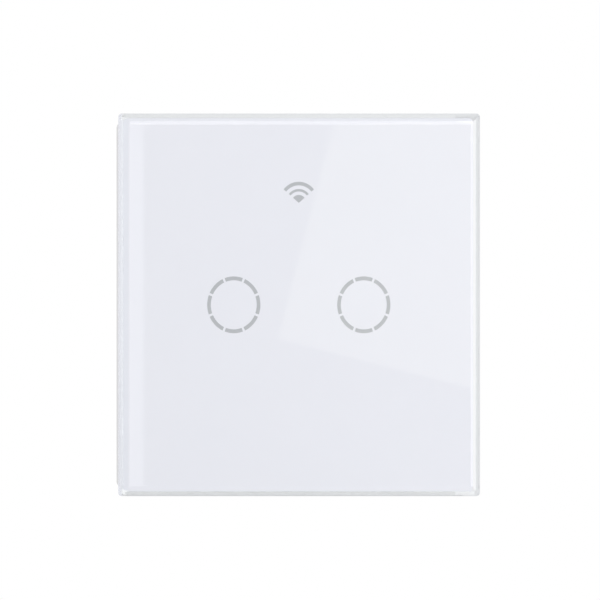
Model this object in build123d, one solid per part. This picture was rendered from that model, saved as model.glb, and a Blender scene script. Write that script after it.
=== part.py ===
from build123d import *
import math
import os

# A touch light switch of the square wall-box kind. A glass touch panel snaps onto a steel mounting frame.
# Behind it are the touch board, the power board, two relays and four screw clamps, in a housing that goes
# into the wall box.
# Frame: x to the right as seen from the room, y into the wall, z up. The origin is on the wall's face, behind
# the middle of the panel. Lengths are millimetres, angles are degrees.

# Driving dimensions
panel_side = 86.0
front_depth = 10.0
glass_thickness = 3.0
body_depth = 25.0
overrun = 1.0

# The wall box format: the spacing of the wall screws and the side of the body go with the side of the panel
wall_screw_share = 603 / 860
body_side_share = 24 / 43
wall_screw_spacing = panel_side * wall_screw_share
body_side = panel_side * body_side_share

# Sheet and board thicknesses, which set the places of all that is stacked on them
print_thickness = 0.15
tape_thickness = 0.5
carrier_thickness = 1.6
mounting_frame_thickness = 1.2
flange_thickness = 1.0
touch_board_thickness = 1.0
power_board_thickness = 1.6
power_board_setback = 2.2
housing_wall = 1.6

# Depths along y, from the room into the wall
glass_front = -front_depth
glass_back = glass_front + glass_thickness
print_back = glass_back + print_thickness
tape_back = print_back + tape_thickness
carrier_back = tape_back + carrier_thickness
mounting_frame_front = -mounting_frame_thickness
flange_front = mounting_frame_front - flange_thickness
touch_board_front = flange_front - touch_board_thickness
power_board_front = power_board_setback
power_board_back = power_board_front + power_board_thickness

sides = (-1, 1)


def room_plane(y):
    """The plane at depth y that faces the room: its x is the frame's x, and its y is the frame's z."""
    return Plane((0, y, 0), x_dir=(1, 0, 0), z_dir=(0, -1, 0))


def inward(outline, y_from, y_to):
    """The solid between two depths with this outline in x and z."""
    return extrude(room_plane(y_from) * outline, amount=y_from - y_to)


def block(x_from, x_to, y_from, y_to, z_from, z_to):
    """A rectangular block between two places on each axis."""
    centre = Pos((x_from + x_to) / 2, (y_from + y_to) / 2, (z_from + z_to) / 2)
    return centre * Box(abs(x_to - x_from), abs(y_to - y_from), abs(z_to - z_from))


def rod(x, z, radius, y_from, y_to):
    """A round rod along y."""
    return inward(Pos(x, z) * Circle(radius), y_from, y_to)


def rounded_square(side, radius):
    return RectangleRounded(side, side, radius)


def chamfered_square(side, corner_cut):
    return chamfer(Rectangle(side, side).vertices(), corner_cut)


def write(node, *pieces):
    """One file for the node, with each separate solid of its pieces."""
    solids = [solid for piece in pieces for solid in piece.solids()]
    export_step(Compound(solids), f"parts/{node}.step")


os.makedirs("parts", exist_ok=True)

# Glass panel: tempered glass, its front edges ground to a soft curve and its sharp edges broken
edge_curve_width = 2.4
edge_curve_drop = 0.45
edge_break = 0.2
glass_corner_radius = 0.8


def glass_profile():
    """The section of the glass, in its width and in the frame's y."""
    half = panel_side / 2
    right = Polyline(
        (half - edge_break, glass_front + edge_curve_drop),
        (half, glass_front + edge_curve_drop + edge_break),
        (half, glass_back - edge_break),
        (half - edge_break, glass_back),
    )
    curve = TangentArc(
        (half - edge_curve_width, glass_front),
        (half - edge_break, glass_front + edge_curve_drop),
        tangent=(1, 0),
    )
    front = Line((0, glass_front), (half - edge_curve_width, glass_front))
    back = Line((half - edge_break, glass_back), (0, glass_back))
    middle = Line((0, glass_back), (0, glass_front))
    one_half = make_face([front, curve, right, back, middle])
    return one_half + mirror(one_half, about=Plane.YZ)


def glass_panel():
    length = panel_side + 2 * overrun
    upright = extrude(glass_profile(), amount=length / 2, both=True)
    level = Rot(0, 90, 0) * upright
    outline = rounded_square(panel_side, glass_corner_radius)
    whole = inward(outline, glass_front - overrun, glass_back + overrun)
    return upright & level & whole


write("glass_panel", glass_panel())

# Touch marks: two rings of dashes and a radio-signal fan, left open in the white print and filled with grey
ring_spacing_share = 0.3628
fan_height_share = 0.2663
ring_spacing = panel_side * ring_spacing_share
fan_height = panel_side * fan_height_share
ring_radius = 5.95
ring_line_width = 0.86
dash_count = 8
dash_gap_angle = 5.0
fan_half_angle = 50.0
fan_wedge_radius = 1.8
fan_inner_radius = 2.85
fan_inner_width = 0.55
fan_outer_radius = 4.35
fan_outer_width = 0.8


def ring_dashes(x):
    pitch = 360 / dash_count
    span = pitch - dash_gap_angle
    dashes = Sketch()
    for number in range(dash_count):
        arc = CenterArc((x, 0), ring_radius, number * pitch - span / 2, span)
        dashes += trace(arc, ring_line_width)
    return dashes


def fan_mark():
    apex = (0, fan_height)
    first = 90 - fan_half_angle
    inner = trace(CenterArc(apex, fan_inner_radius, first, 2 * fan_half_angle), fan_inner_width)
    outer = trace(CenterArc(apex, fan_outer_radius, first, 2 * fan_half_angle), fan_outer_width)
    rim = CenterArc(apex, fan_wedge_radius, first, 2 * fan_half_angle)
    wedge = make_face([Line(apex, rim @ 0), rim, Line(rim @ 1, apex)])
    return wedge + inner + outer


ring_places = {"left": -ring_spacing / 2, "right": ring_spacing / 2}

# White print: the ink layer on the back of the glass, short of its edges
print_margin = 1.3
print_corner_radius = 0.6
print_side = panel_side - 2 * print_margin
print_outline = rounded_square(print_side, print_corner_radius) - fan_mark()
for place in ring_places.values():
    print_outline -= ring_dashes(place)
write("white_print", inward(print_outline, glass_back, print_back))
for name, place in ring_places.items():
    write(f"{name}_ring_window", inward(ring_dashes(place), glass_back, print_back))
write("signal_window", inward(fan_mark(), glass_back, print_back))

# Bonding tape: a frame of foam tape between the print and the carrier
carrier_inset = 2.1
carrier_wall = 1.1
carrier_corner_radius = 1.2
carrier_wall_end_gap = 0.4
carrier_side = panel_side - 2 * carrier_inset
carrier_inner_side = carrier_side - 2 * carrier_wall
tape_inset = 0.9
tape_width = 6.0
tape_side = carrier_side - 2 * tape_inset
tape_outline = rounded_square(tape_side, carrier_corner_radius)
tape_outline -= rounded_square(tape_side - 2 * tape_width, carrier_corner_radius)
write("bonding_tape", inward(tape_outline, print_back, tape_back))

# Light guides: clear plastic behind the marks, with a flange bonded to the back of the carrier
guide_flange_thickness = 0.7
guide_flange_width = 1.3
guide_cover = 0.6
guide_fit = 0.05
guide_outer_radius = ring_radius + ring_line_width / 2 + guide_cover
guide_bore_radius = ring_radius - ring_line_width / 2 - guide_cover
guide_back = carrier_back + guide_flange_thickness
signal_guide_width = 2 * (fan_outer_radius + fan_outer_width / 2 + guide_cover)
signal_guide_height = fan_outer_radius + fan_outer_width / 2 + 2 * guide_cover
signal_guide_radius = 1.0
signal_guide_place = fan_height + (fan_outer_radius + fan_outer_width / 2) / 2


def ring_guide(x):
    ring = rod(x, 0, guide_outer_radius, print_back, carrier_back)
    ring += rod(x, 0, guide_outer_radius + guide_flange_width, carrier_back, guide_back)
    return ring - rod(x, 0, guide_bore_radius, print_back - overrun, guide_back + overrun)


def signal_guide_outline(growth):
    outline = RectangleRounded(
        signal_guide_width + 2 * growth, signal_guide_height + 2 * growth, signal_guide_radius
    )
    return Pos(0, signal_guide_place) * outline


for name, place in ring_places.items():
    write(f"{name}_light_guide", ring_guide(place))
signal_guide = inward(signal_guide_outline(0), print_back, carrier_back)
signal_guide += inward(signal_guide_outline(guide_flange_width), carrier_back, guide_back)
write("signal_light_guide", signal_guide)

# Panel carrier: the white tray behind the glass. Its rim goes round the mounting frame.
gusset_places_shares = (-0.39, -0.13, 0.13, 0.39)
gusset_thickness = 0.9
gusset_reach = 1.2
gusset_height = 2.4
notch_width = 8.0
notch_height = 1.6
rim_end = -carrier_wall_end_gap


def gusset():
    """One rib between the rim's upper wall and the plate, in the middle of the wall."""
    wall_face = carrier_inner_side / 2
    outline = make_face(
        Polyline(
            (wall_face, carrier_back),
            (wall_face, carrier_back + gusset_height),
            (wall_face - gusset_reach, carrier_back),
            close=True,
        )
    )
    upright = Plane((0, 0, 0), x_dir=(0, 0, 1), z_dir=(-1, 0, 0))
    return extrude(upright * outline, amount=gusset_thickness / 2, both=True)


def panel_carrier():
    tray = inward(rounded_square(carrier_side, carrier_corner_radius), tape_back, rim_end)
    room = rounded_square(carrier_inner_side, carrier_corner_radius)
    tray -= inward(room, carrier_back, rim_end + overrun)
    for place in ring_places.values():
        tray -= rod(place, 0, guide_outer_radius + guide_fit, tape_back - overrun, carrier_back + overrun)
    tray -= inward(signal_guide_outline(guide_fit), tape_back - overrun, carrier_back + overrun)
    for quarter in range(4):
        for share in gusset_places_shares:
            tray += Rot(0, quarter * 90, 0) * Pos(share * carrier_side, 0, 0) * gusset()
    notch_inside = carrier_inner_side / 2 - overrun
    notch_outside = carrier_side / 2 + overrun
    half_notch = notch_width / 2
    notch = block(notch_inside, notch_outside, rim_end - notch_height, rim_end + overrun, -half_notch, half_notch)
    return tray - notch


write("panel_carrier", panel_carrier())

# Rear housing: the moulded body in the wall box, with a flange that lies over the mounting frame
flange_side_lap = 2.5
flange_end_lap = 9.0
flange_width = body_side + 2 * flange_side_lap
flange_height = body_side + 2 * flange_end_lap
flange_corner_radius = 2.0
body_corner_cut = 7.0
step_depth = 5.0
step_gap = 0.8
stake_radius = 0.9
stake_head_radius = 1.4
stake_head_height = 0.5
stake_fit = 0.05
board_side_inset = 1.5
board_end_inset = 5.0
touch_board_width = flange_width - 2 * board_side_inset
touch_board_height = flange_height - 2 * board_end_inset
stake_side_inset = 5.0
stake_end_inset = 2.6
stake_x = touch_board_width / 2 - stake_side_inset
stake_z = touch_board_height / 2 - stake_end_inset
post_radius = 2.2
post_bore_radius = 0.93
post_bore_depth = 9.0
post_inset = 4.9
post_gap = 1.2
post_drop = 1.4
vent_count = 6
vent_pitch = 4.0
vent_width = 1.4
vent_length = 10.0
vent_from = 8.0
body_inner_side = body_side - 2 * housing_wall
body_inner_cut = body_corner_cut - housing_wall * (2 - math.sqrt(2))
body_floor = body_depth - housing_wall
step_back = body_depth - step_depth
step_floor = step_back - housing_wall
stake_places = [(x_side * stake_x, z_side * stake_z) for x_side in sides for z_side in sides]

# Frame screws go through the flange into threads of the mounting frame
frame_screw_side_inset = 4.0
frame_screw_end_inset = 2.5
frame_screw_x = flange_width / 2 - frame_screw_side_inset
frame_screw_z = flange_height / 2 - frame_screw_end_inset
frame_screw_radius = 1.25
frame_screw_fit = 0.1
thread_fit = 0.03
screw_head_radius = 2.1
screw_head_height = 1.3
screw_head_rounding = 0.5
recess_width = 0.6
recess_span = 2.4
recess_depth = 0.7
frame_screw_places = [
    (x_side * frame_screw_x, z_side * frame_screw_z) for x_side in sides for z_side in sides
]

# Terminal block: four poles of screw clamps, set so that its back is level with the housing's step
pole_count = 4
terminal_end_gap = 6.9
pole_gap = 1.4
cage_wall = 0.8
cage_inner_height = 6.7
cage_length = 5.5
cage_fit = 0.2
cage_travel = 4.5
cage_room = 1.2
bar_thickness = 0.8
bar_gap = 0.2
bar_side_gap = 0.15
bar_end_gap = 0.3
terminal_side_wall = 1.0
terminal_entry_wall = 1.0
terminal_back_wall = 1.2
terminal_bottom_gap = 0.2
terminal_window_gap = 0.3
terminal_recess = 0.2
clamp_screw_radius = 1.5
clamp_head_radius = 2.4
clamp_head_height = 1.5
clamp_head_gap = 0.2
clamp_head_fit = 0.25
clamp_slot_width = 0.8
clamp_slot_depth = 0.9
tip_gap = 0.02
solder_tail = 1.0
tail_width = 1.2
tail_fit = 0.1
cage_height = cage_inner_height + 2 * cage_wall
cage_front = power_board_back + cage_room
cage_back = cage_front + cage_height
aperture_front = cage_front + cage_wall
bar_back = cage_back - cage_wall - bar_gap
bar_front = bar_back - bar_thickness
cavity_back = cage_back + cage_travel + clamp_head_gap
terminal_width = body_inner_side - 2 * terminal_end_gap
pole_pitch = (terminal_width + pole_gap - 2 * (cage_fit + terminal_side_wall)) / pole_count
cage_width = pole_pitch - pole_gap
cavity_width = cage_width + 2 * cage_fit
terminal_back = step_back - terminal_recess
terminal_bottom = -body_inner_side / 2 + terminal_bottom_gap
cage_bottom = terminal_bottom + terminal_entry_wall + cage_fit
cage_top = cage_bottom + cage_length
clamp_z = (cage_bottom + cage_top) / 2
leg_bottom = cage_top + bar_end_gap
leg_top = leg_bottom + bar_thickness
terminal_top = leg_top + terminal_back_wall
step_top = terminal_top + step_gap
pole_places = [(number - (pole_count - 1) / 2) * pole_pitch for number in range(pole_count)]
upper_post = body_inner_side / 2 - post_inset
lower_post_x = terminal_width / 2 + post_gap + post_radius
lower_post_z = terminal_top - post_drop
post_places = [(side * upper_post, upper_post) for side in sides]
post_places += [(side * lower_post_x, lower_post_z) for side in sides]


def rear_housing():
    shell = inward(chamfered_square(body_side, body_corner_cut), mounting_frame_front, body_depth)
    shell -= block(-body_side, body_side, step_back, body_depth + overrun, -body_side, step_top)
    hollow = inward(chamfered_square(body_inner_side, body_inner_cut), mounting_frame_front, body_floor)
    hollow -= block(-body_side, body_side, step_floor, body_depth, -body_side, step_top + housing_wall)
    shell -= hollow
    flange = inward(RectangleRounded(flange_width, flange_height, flange_corner_radius), flange_front,
                    mounting_frame_front)
    flange -= inward(chamfered_square(body_inner_side, body_inner_cut), flange_front - overrun,
                     mounting_frame_front + overrun)
    shell += flange
    for x, z in post_places:
        floor = body_floor if z > 0 else step_floor
        shell += rod(x, z, post_radius, power_board_back, floor)
        shell -= rod(x, z, post_bore_radius, power_board_back - overrun, power_board_back + post_bore_depth)
    for x, z in stake_places:
        shell += rod(x, z, stake_radius, touch_board_front - stake_head_height, flange_front)
        shell += rod(x, z, stake_head_radius, touch_board_front - stake_head_height, touch_board_front)
    for x, z in frame_screw_places:
        shell -= rod(x, z, frame_screw_radius + frame_screw_fit, flange_front - overrun,
                     mounting_frame_front + overrun)
    half_window = terminal_width / 2 + terminal_window_gap
    window_top = terminal_top + terminal_window_gap
    window_front = power_board_back + terminal_window_gap
    shell -= block(-half_window, half_window, window_front, step_back + overrun, -body_side, window_top)
    for number in range(vent_count):
        x = (number - (vent_count - 1) / 2) * vent_pitch
        shell -= block(x - vent_width / 2, x + vent_width / 2, vent_from, vent_from + vent_length,
                       body_inner_side / 2 - overrun, body_side / 2 + overrun)
    return shell


write("rear_housing", rear_housing())

# Mounting frame: pressed steel plate between the flange and the wall, with a slot for each wall screw
mounting_frame_gap = 1.8
mounting_frame_side = carrier_inner_side - 2 * mounting_frame_gap
mounting_frame_corner = 3.0
slot_half_width = 2.2
slot_length = 7.0
body_window_gap = 0.25


def mounting_frame():
    outline = rounded_square(mounting_frame_side, mounting_frame_corner)
    outline -= chamfered_square(body_side + 2 * body_window_gap, body_corner_cut)
    for side in sides:
        slot = SlotOverall(slot_length, 2 * slot_half_width)
        outline -= Pos(side * wall_screw_spacing / 2, 0) * slot
    for x, z in frame_screw_places:
        outline -= Pos(x, z) * Circle(frame_screw_radius + thread_fit)
    return inward(outline, mounting_frame_front, 0)


write("mounting_frame", mounting_frame())

# Panel clips: spring-steel leaves, spot-welded on the frame, whose crowns press inside the carrier's rim
clip_thickness = 0.3
clip_width = 8.0
clip_x = 20.0
clip_foot_gap = 0.8
clip_crown_gap = 0.05
clip_bend_radius = 0.5
clip_bow_radius = 3.6
clip_bow_angle = 20.0


def panel_clip():
    """The clip above the middle of the panel: outline in height and in distance towards the room."""
    foot = clip_thickness / 2 - mounting_frame_front
    crown = carrier_inner_side / 2 - clip_crown_gap - clip_thickness / 2
    lean = math.cos(math.radians(clip_bow_angle))
    bow_centre = crown - clip_bow_radius
    bend_centre = bow_centre + (clip_bow_radius - clip_bend_radius) * lean
    bend = CenterArc((bend_centre, foot + clip_bend_radius), clip_bend_radius, -90, 90 - clip_bow_angle)
    rise = (bend @ 1).Y + clip_bow_radius * math.sin(math.radians(clip_bow_angle))
    bow = CenterArc((bow_centre, rise), clip_bow_radius, -clip_bow_angle, 2 * clip_bow_angle)
    foot_line = Line((flange_height / 2 + clip_foot_gap, foot), (bend_centre, foot))
    leaf = trace(foot_line + bend + bow, clip_thickness)
    upright = Plane((0, 0, 0), x_dir=(0, 0, 1), z_dir=(1, 0, 0))
    return extrude(upright * leaf, amount=clip_width / 2, both=True)


upper_clips = [Pos(side * clip_x, 0, 0) * panel_clip() for side in sides]
lower_clips = [mirror(clip, about=Plane.XY) for clip in upper_clips]
write("panel_clips", *upper_clips, *lower_clips)


def cross_recess_screw(x, z, head_front, shank_radius, shank_end):
    """A pan-head screw that goes into the wall, with a cross recess in its head."""
    seat = head_front + screw_head_height
    head = rod(x, z, screw_head_radius, head_front, seat)
    head = fillet(head.edges().group_by(Axis.Y)[0], screw_head_rounding)
    bottom = head_front + recess_depth
    wide, narrow = recess_span / 2, recess_width / 2
    head -= block(x - wide, x + wide, head_front - overrun, bottom, z - narrow, z + narrow)
    head -= block(x - narrow, x + narrow, head_front - overrun, bottom, z - wide, z + wide)
    return head + rod(x, z, shank_radius, seat, shank_end)


frame_screws = [
    cross_recess_screw(x, z, flange_front - screw_head_height, frame_screw_radius, 0)
    for x, z in frame_screw_places
]
write("frame_screws", *frame_screws)

# Touch board: lies on the flange, held by the housing's four staked pins
touch_board_corner = 1.5


def touch_board():
    outline = RectangleRounded(touch_board_width, touch_board_height, touch_board_corner)
    for x, z in stake_places:
        outline -= Pos(x, z) * Circle(stake_radius + stake_fit)
    return inward(outline, touch_board_front, flange_front)


write("touch_board", touch_board())

# Touch springs: wire coils soldered to the board, which press on the back of the print inside each ring
wire_radius = 0.2
spring_radius = 3.0
spring_turns = 2.25
spring_contact_gap = 0.05
spring_bend_rise = 0.5
spring_samples = 240


def biarc(start, start_tangent, end, end_tangent):
    """Two arcs from start to end that meet smoothly and keep both tangents."""
    across = end - start
    together = start_tangent + end_tangent
    spread = 2 * (1 - start_tangent.dot(end_tangent))
    lean = across.dot(together)
    reach = (math.sqrt(lean * lean + spread * across.dot(across)) - lean) / spread
    first = start + start_tangent * reach
    second = end - end_tangent * reach
    middle = (first + second) * 0.5
    return [
        Edge.make_tangent_arc(start, start_tangent, middle),
        Edge.make_tangent_arc(middle, second - first, end),
    ]


def least_gap(wire, samples, skipped):
    """The least distance between two stretches of the wire's surface, at least the skipped length apart."""
    points = [wire.position_at(number / samples) for number in range(samples + 1)]
    step = wire.length / samples
    apart = math.ceil(skipped / step)
    nearest = min(
        (points[second] - points[first]).length
        for first in range(len(points))
        for second in range(first + apart, len(points))
    )
    return nearest - 2 * wire_radius


def spring_path(x):
    """A straight lead off the board, then turns that climb towards the room."""
    lead_end = touch_board_front - 2 * wire_radius
    coil_start = lead_end - spring_bend_rise
    coil_end = print_back + spring_contact_gap + wire_radius
    climb = (coil_end - coil_start) / (2 * math.pi * spring_turns)
    quarter = math.pi / 2
    toward_room = Vector(0, -1, 0)

    def on_circle(angle, y):
        return Vector(x + spring_radius * math.cos(angle), y, spring_radius * math.sin(angle))

    def turn(angle):
        along = Vector(-spring_radius * math.sin(angle), climb, spring_radius * math.cos(angle))
        return on_circle(angle, coil_start + climb * angle), along.normalized()

    lead_start = on_circle(-quarter / 2, touch_board_front)
    lead_stop = on_circle(-quarter / 2, lead_end)
    edges = [Edge.make_line(lead_start, lead_stop)]
    edges += biarc(lead_stop, toward_room, *turn(0))
    for number in range(round(spring_turns * 4)):
        edges += biarc(*turn(number * quarter), *turn((number + 1) * quarter))
    return Wire(edges)


def touch_spring(x):
    path = spring_path(x)
    section = Plane(path @ 0, z_dir=path % 0) * Circle(wire_radius)
    return sweep(section, path=path)


for name, place in ring_places.items():
    write(f"{name}_touch_spring", touch_spring(place))
gap = least_gap(spring_path(ring_places["right"]), spring_samples, math.pi * spring_radius)
print(f"least gap between the turns of a touch spring: {gap:.2f} mm")

# Light chips on the front of the touch board: four behind each ring, one behind the fan
chip_light_length = 1.6
chip_light_width = 0.8
chip_light_height = 0.6
chip_lights_per_ring = 4


def chip_light(x, z, angle):
    outline = Pos(x, z) * Rot(0, 0, angle) * Rectangle(chip_light_length, chip_light_width)
    return inward(outline, touch_board_front - chip_light_height, touch_board_front)


def ring_light_angles():
    pitch = 360 / chip_lights_per_ring
    return [(number + 1 / 2) * pitch for number in range(chip_lights_per_ring)]


def ring_light(x, angle):
    turn = math.radians(angle)
    return chip_light(x + ring_radius * math.cos(turn), ring_radius * math.sin(turn), angle + 90)


ring_lights = [ring_light(place, angle) for place in ring_places.values() for angle in ring_light_angles()]
write("ring_lights", *ring_lights)
write("signal_light", chip_light(0, signal_guide_place, 0))

# Touch chip: a flat package with bent legs on the back of the touch board
touch_chip_x = -12.0
touch_chip_z = 6.0
touch_chip_length = 10.0
touch_chip_width = 4.0
touch_chip_height = 1.5
chip_standoff = 0.1
chip_leg_count = 8
chip_leg_pitch = 1.27
chip_leg_width = 0.4
chip_leg_reach = 1.0
chip_leg_thickness = 0.2


def bent_legs(x, z, width, y_board, rise, count, pitch):
    """Legs on both sides of a chip: each comes out of the side, goes down to the board and lies on it."""
    middle, foot = chip_leg_reach / 2, chip_leg_thickness / 2
    leg_outline = Polyline((0, rise), (middle, rise), (middle, foot), (chip_leg_reach, foot))
    leg = extrude(trace(leg_outline, chip_leg_thickness), amount=chip_leg_width / 2, both=True)
    row = [Pos(width / 2, 0, (number - (count - 1) / 2) * pitch) * leg for number in range(count)]
    both_rows = row + [Rot(0, 180, 0) * piece for piece in row]
    return [Pos(x, y_board, z) * piece for piece in both_rows]


touch_chip_body = block(
    touch_chip_x - touch_chip_width / 2, touch_chip_x + touch_chip_width / 2,
    flange_front + chip_standoff, flange_front + chip_standoff + touch_chip_height,
    touch_chip_z - touch_chip_length / 2, touch_chip_z + touch_chip_length / 2,
)
touch_chip_legs = bent_legs(
    touch_chip_x, touch_chip_z, touch_chip_width,
    flange_front, touch_chip_height / 2, chip_leg_count, chip_leg_pitch,
)
write("touch_chip", touch_chip_body, *touch_chip_legs)

# Radio module: a small board on the back of the touch board, with a shield can over its chips
header_thickness = 2.5
relay_terminal_gap = 2.8
header_z = terminal_top + relay_terminal_gap / 2
radio_width_share = 0.32
radio_height_share = 0.43
radio_gap = 3.5
antenna_height = 7.5
shield_margin = 1.5
radio_width = touch_board_width * radio_width_share
radio_height = touch_board_height * radio_height_share
radio_x = radio_width / 2
radio_z = header_z + (header_thickness + radio_height) / 2 + radio_gap
radio_board_thickness = 0.8
shield_width = radio_width - 2 * shield_margin
shield_height = radio_height - antenna_height - shield_margin
shield_offset = (antenna_height - shield_margin) / 2
shield_depth = 1.6
shield_wall = 0.2
radio_back = flange_front + radio_board_thickness
radio_outline = Pos(radio_x, radio_z) * Rectangle(radio_width, radio_height)
write("radio_module", inward(radio_outline, flange_front, radio_back))


def radio_shield():
    place = Pos(radio_x, radio_z - shield_offset)
    can = inward(place * Rectangle(shield_width, shield_height), radio_back, radio_back + shield_depth)
    inner = Rectangle(shield_width - 2 * shield_wall, shield_height - 2 * shield_wall)
    return can - inward(place * inner, radio_back - overrun, radio_back + shield_depth - shield_wall)


write("radio_shield", radio_shield())

# Board header and socket: eight square pins that join the two boards
header_pin_count = 8
header_pitch = 2.54
header_base_height = 1.7
header_pin_side = 0.64
header_pin_fit = 0.05
header_join_gap = 0.05
header_pin_end_gap = 0.2
header_places = [(number - (header_pin_count - 1) / 2) * header_pitch for number in range(header_pin_count)]
header_base_front = power_board_front - header_base_height
pin_front = flange_front + header_pin_end_gap


def header_strip(y_from, y_to, hole_side):
    outline = Pos(0, header_z) * Rectangle(header_pin_count * header_pitch, header_thickness)
    for x in header_places:
        outline -= Pos(x, header_z) * Rectangle(hole_side, hole_side)
    return inward(outline, y_from, y_to)


pin_outlines = [Pos(x, header_z) * Rectangle(header_pin_side, header_pin_side) for x in header_places]
header_pins = [inward(outline, pin_front, power_board_back + solder_tail) for outline in pin_outlines]
socket_hole = header_pin_side + 2 * header_pin_fit
write("header_socket", header_strip(flange_front, header_base_front - header_join_gap, socket_hole))
write("board_header", header_strip(header_base_front, power_board_front, header_pin_side), *header_pins)

# Terminal block, its fixed current bars, and the rising clamp cage and the screw of each pole
entry_gap = 0.05
entry_width = cage_width - 2 * cage_wall + 2 * entry_gap


def terminal_block():
    half = terminal_width / 2
    body = block(-half, half, power_board_back, terminal_back, terminal_bottom, terminal_top)
    for x in pole_places:
        half_cavity = cavity_width / 2
        body -= block(x - half_cavity, x + half_cavity, power_board_back - overrun, cavity_back,
                      cage_bottom - cage_fit, leg_top)
        half_entry = entry_width / 2
        body -= block(x - half_entry, x + half_entry, aperture_front, bar_front,
                      terminal_bottom - overrun, cage_bottom)
        well_radius = clamp_head_radius + clamp_head_fit
        body -= rod(x, clamp_z, well_radius, cavity_back - overrun, terminal_back + overrun)
    return body


def current_bar(x):
    half = cage_width / 2 - cage_wall - bar_side_gap
    half_tail = tail_width / 2
    bar = block(x - half, x + half, bar_front, bar_back, cage_bottom, leg_top)
    bar += block(x - half, x + half, power_board_back, bar_back, leg_bottom, leg_top)
    return bar + block(x - half_tail, x + half_tail, power_board_front - solder_tail, power_board_back,
                       leg_bottom, leg_top)


def clamp_cage(x):
    half = cage_width / 2
    half_inner = half - cage_wall
    cage = block(x - half, x + half, cage_front, cage_back, cage_bottom, cage_top)
    cage -= block(x - half_inner, x + half_inner, aperture_front, cage_back - cage_wall,
                  cage_bottom - overrun, cage_top + overrun)
    return cage - rod(x, clamp_z, clamp_screw_radius + thread_fit, cage_back - cage_wall - overrun / 2,
                      cage_back + overrun)


def clamp_screw(x):
    """A slotted screw whose tip bears on the current bar and whose head faces the back of the block."""
    head_back = cavity_back + clamp_head_height
    half_slot = clamp_slot_width / 2
    reach = clamp_head_radius + overrun
    screw = rod(x, clamp_z, clamp_screw_radius, bar_back + tip_gap, cavity_back)
    screw += rod(x, clamp_z, clamp_head_radius, cavity_back, head_back)
    slot = block(x - reach, x + reach, head_back - clamp_slot_depth, head_back + overrun,
                 clamp_z - half_slot, clamp_z + half_slot)
    return screw - slot


write("terminal_block", terminal_block())
write("terminal_tabs", *[current_bar(x) for x in pole_places])
for number, place in enumerate(pole_places, start=1):
    write(f"clamp_cage_{number}", clamp_cage(place))
    write(f"clamp_screw_{number}", clamp_screw(place))

# Relays: two alike, side by side behind the power board, standing on their pins
row_gap = 1.0
can_row_gap = 0.4
relay_width_share = 0.329
transformer_share = 0.413
relay_side_gap = 3.0
relay_middle_gap = 2.0
relay_height = 15.3
case_wall = 0.6
case_fit = 0.05
relay_base_lift = 0.3
relay_base_thickness = 1.5
yoke_gap = 0.9
yoke_thickness = 1.2
yoke_width_share = 0.686
yoke_floor_thickness = 1.0
core_radius_share = 0.147
pole_radius_share = 0.235
pole_thickness = 0.6
pole_face_gap = 0.05
bobbin_radius_share = 0.382
bobbin_tube_gap = 0.6
coil_inset = 0.2
bobbin_flange = 0.6
bobbin_height = 7.8
bobbin_yoke_gap = 0.3
core_fit = 0.05
armature_overhang = 1.2
armature_width_share = 0.647
armature_thickness = 1.0
armature_opening = 4.0
pivot_gap = 0.03
contact_leaf_thickness = 0.25
contact_leaf_width_share = 0.392
contact_leaf_leg = 3.0
contact_leaf_leg_gap = 0.3
contact_radius_share = 0.127
moving_contact_height = 0.8
fixed_contact_height = 0.6
contact_gap = 0.05
contact_blade_thickness = 0.6
contact_blade_offset = 0.9
contact_blade_end_gap = 0.55
relay_pin_side = 0.6
relay_pin_width = 1.0
coil_pin_spacing_share = 0.588
coil_pin_gap = 0.4
pin_fit = 0.1

# The space above the terminal block is shared out between the relays, the transformer and the row of cans
free_height = body_inner_side / 2 - terminal_top - relay_terminal_gap - row_gap - 2 * can_row_gap
relay_width = free_height * relay_width_share
transformer_side = free_height * transformer_share
can_diameter = free_height - relay_width - transformer_side
relay_bottom = terminal_top + relay_terminal_gap
relay_z = relay_bottom + relay_width / 2
row_bottom = relay_bottom + relay_width + row_gap
relay_length = (body_inner_side - relay_middle_gap) / 2 - relay_side_gap
relay_pitch = relay_length + relay_middle_gap
relay_places = {"left": -relay_pitch / 2, "right": relay_pitch / 2}

yoke_width = relay_width * yoke_width_share
core_radius = relay_width * core_radius_share
pole_radius = relay_width * pole_radius_share
bobbin_radius = relay_width * bobbin_radius_share
bobbin_tube_radius = core_radius + bobbin_tube_gap
coil_radius = bobbin_radius - coil_inset
armature_width = relay_width * armature_width_share
contact_leaf_width = relay_width * contact_leaf_width_share
contact_radius = relay_width * contact_radius_share
coil_pin_spacing = relay_width * coil_pin_spacing_share

base_back = power_board_back + relay_base_lift + relay_base_thickness
floor_back = base_back + yoke_floor_thickness
flange_back = floor_back + bobbin_height
pole_back = flange_back + pole_thickness
yoke_back = pole_back + pole_face_gap
yoke_outer = case_wall + yoke_gap - relay_length / 2
yoke_inner = yoke_outer + yoke_thickness
coil_x = yoke_inner + bobbin_yoke_gap + bobbin_radius
floor_end = coil_x + bobbin_radius
coil_pin_x = floor_end + coil_pin_gap + relay_pin_side / 2
base_end = relay_length / 2 - case_wall - case_fit
blade_x = base_end - contact_blade_end_gap - contact_blade_thickness
contact_x = blade_x - contact_blade_offset
armature_end = floor_end + armature_overhang
armature_front = yoke_back + pivot_gap
leaf_front = armature_front + armature_thickness
fixed_contact_back = leaf_front - moving_contact_height - contact_gap
blade_back = fixed_contact_back - fixed_contact_height
pins_front = power_board_front - solder_tail


def relay_block(x_from, x_to, y_from, y_to, width):
    """A block that is centred on the relay's middle plane."""
    return block(x_from, x_to, y_from, y_to, relay_z - width / 2, relay_z + width / 2)


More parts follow.
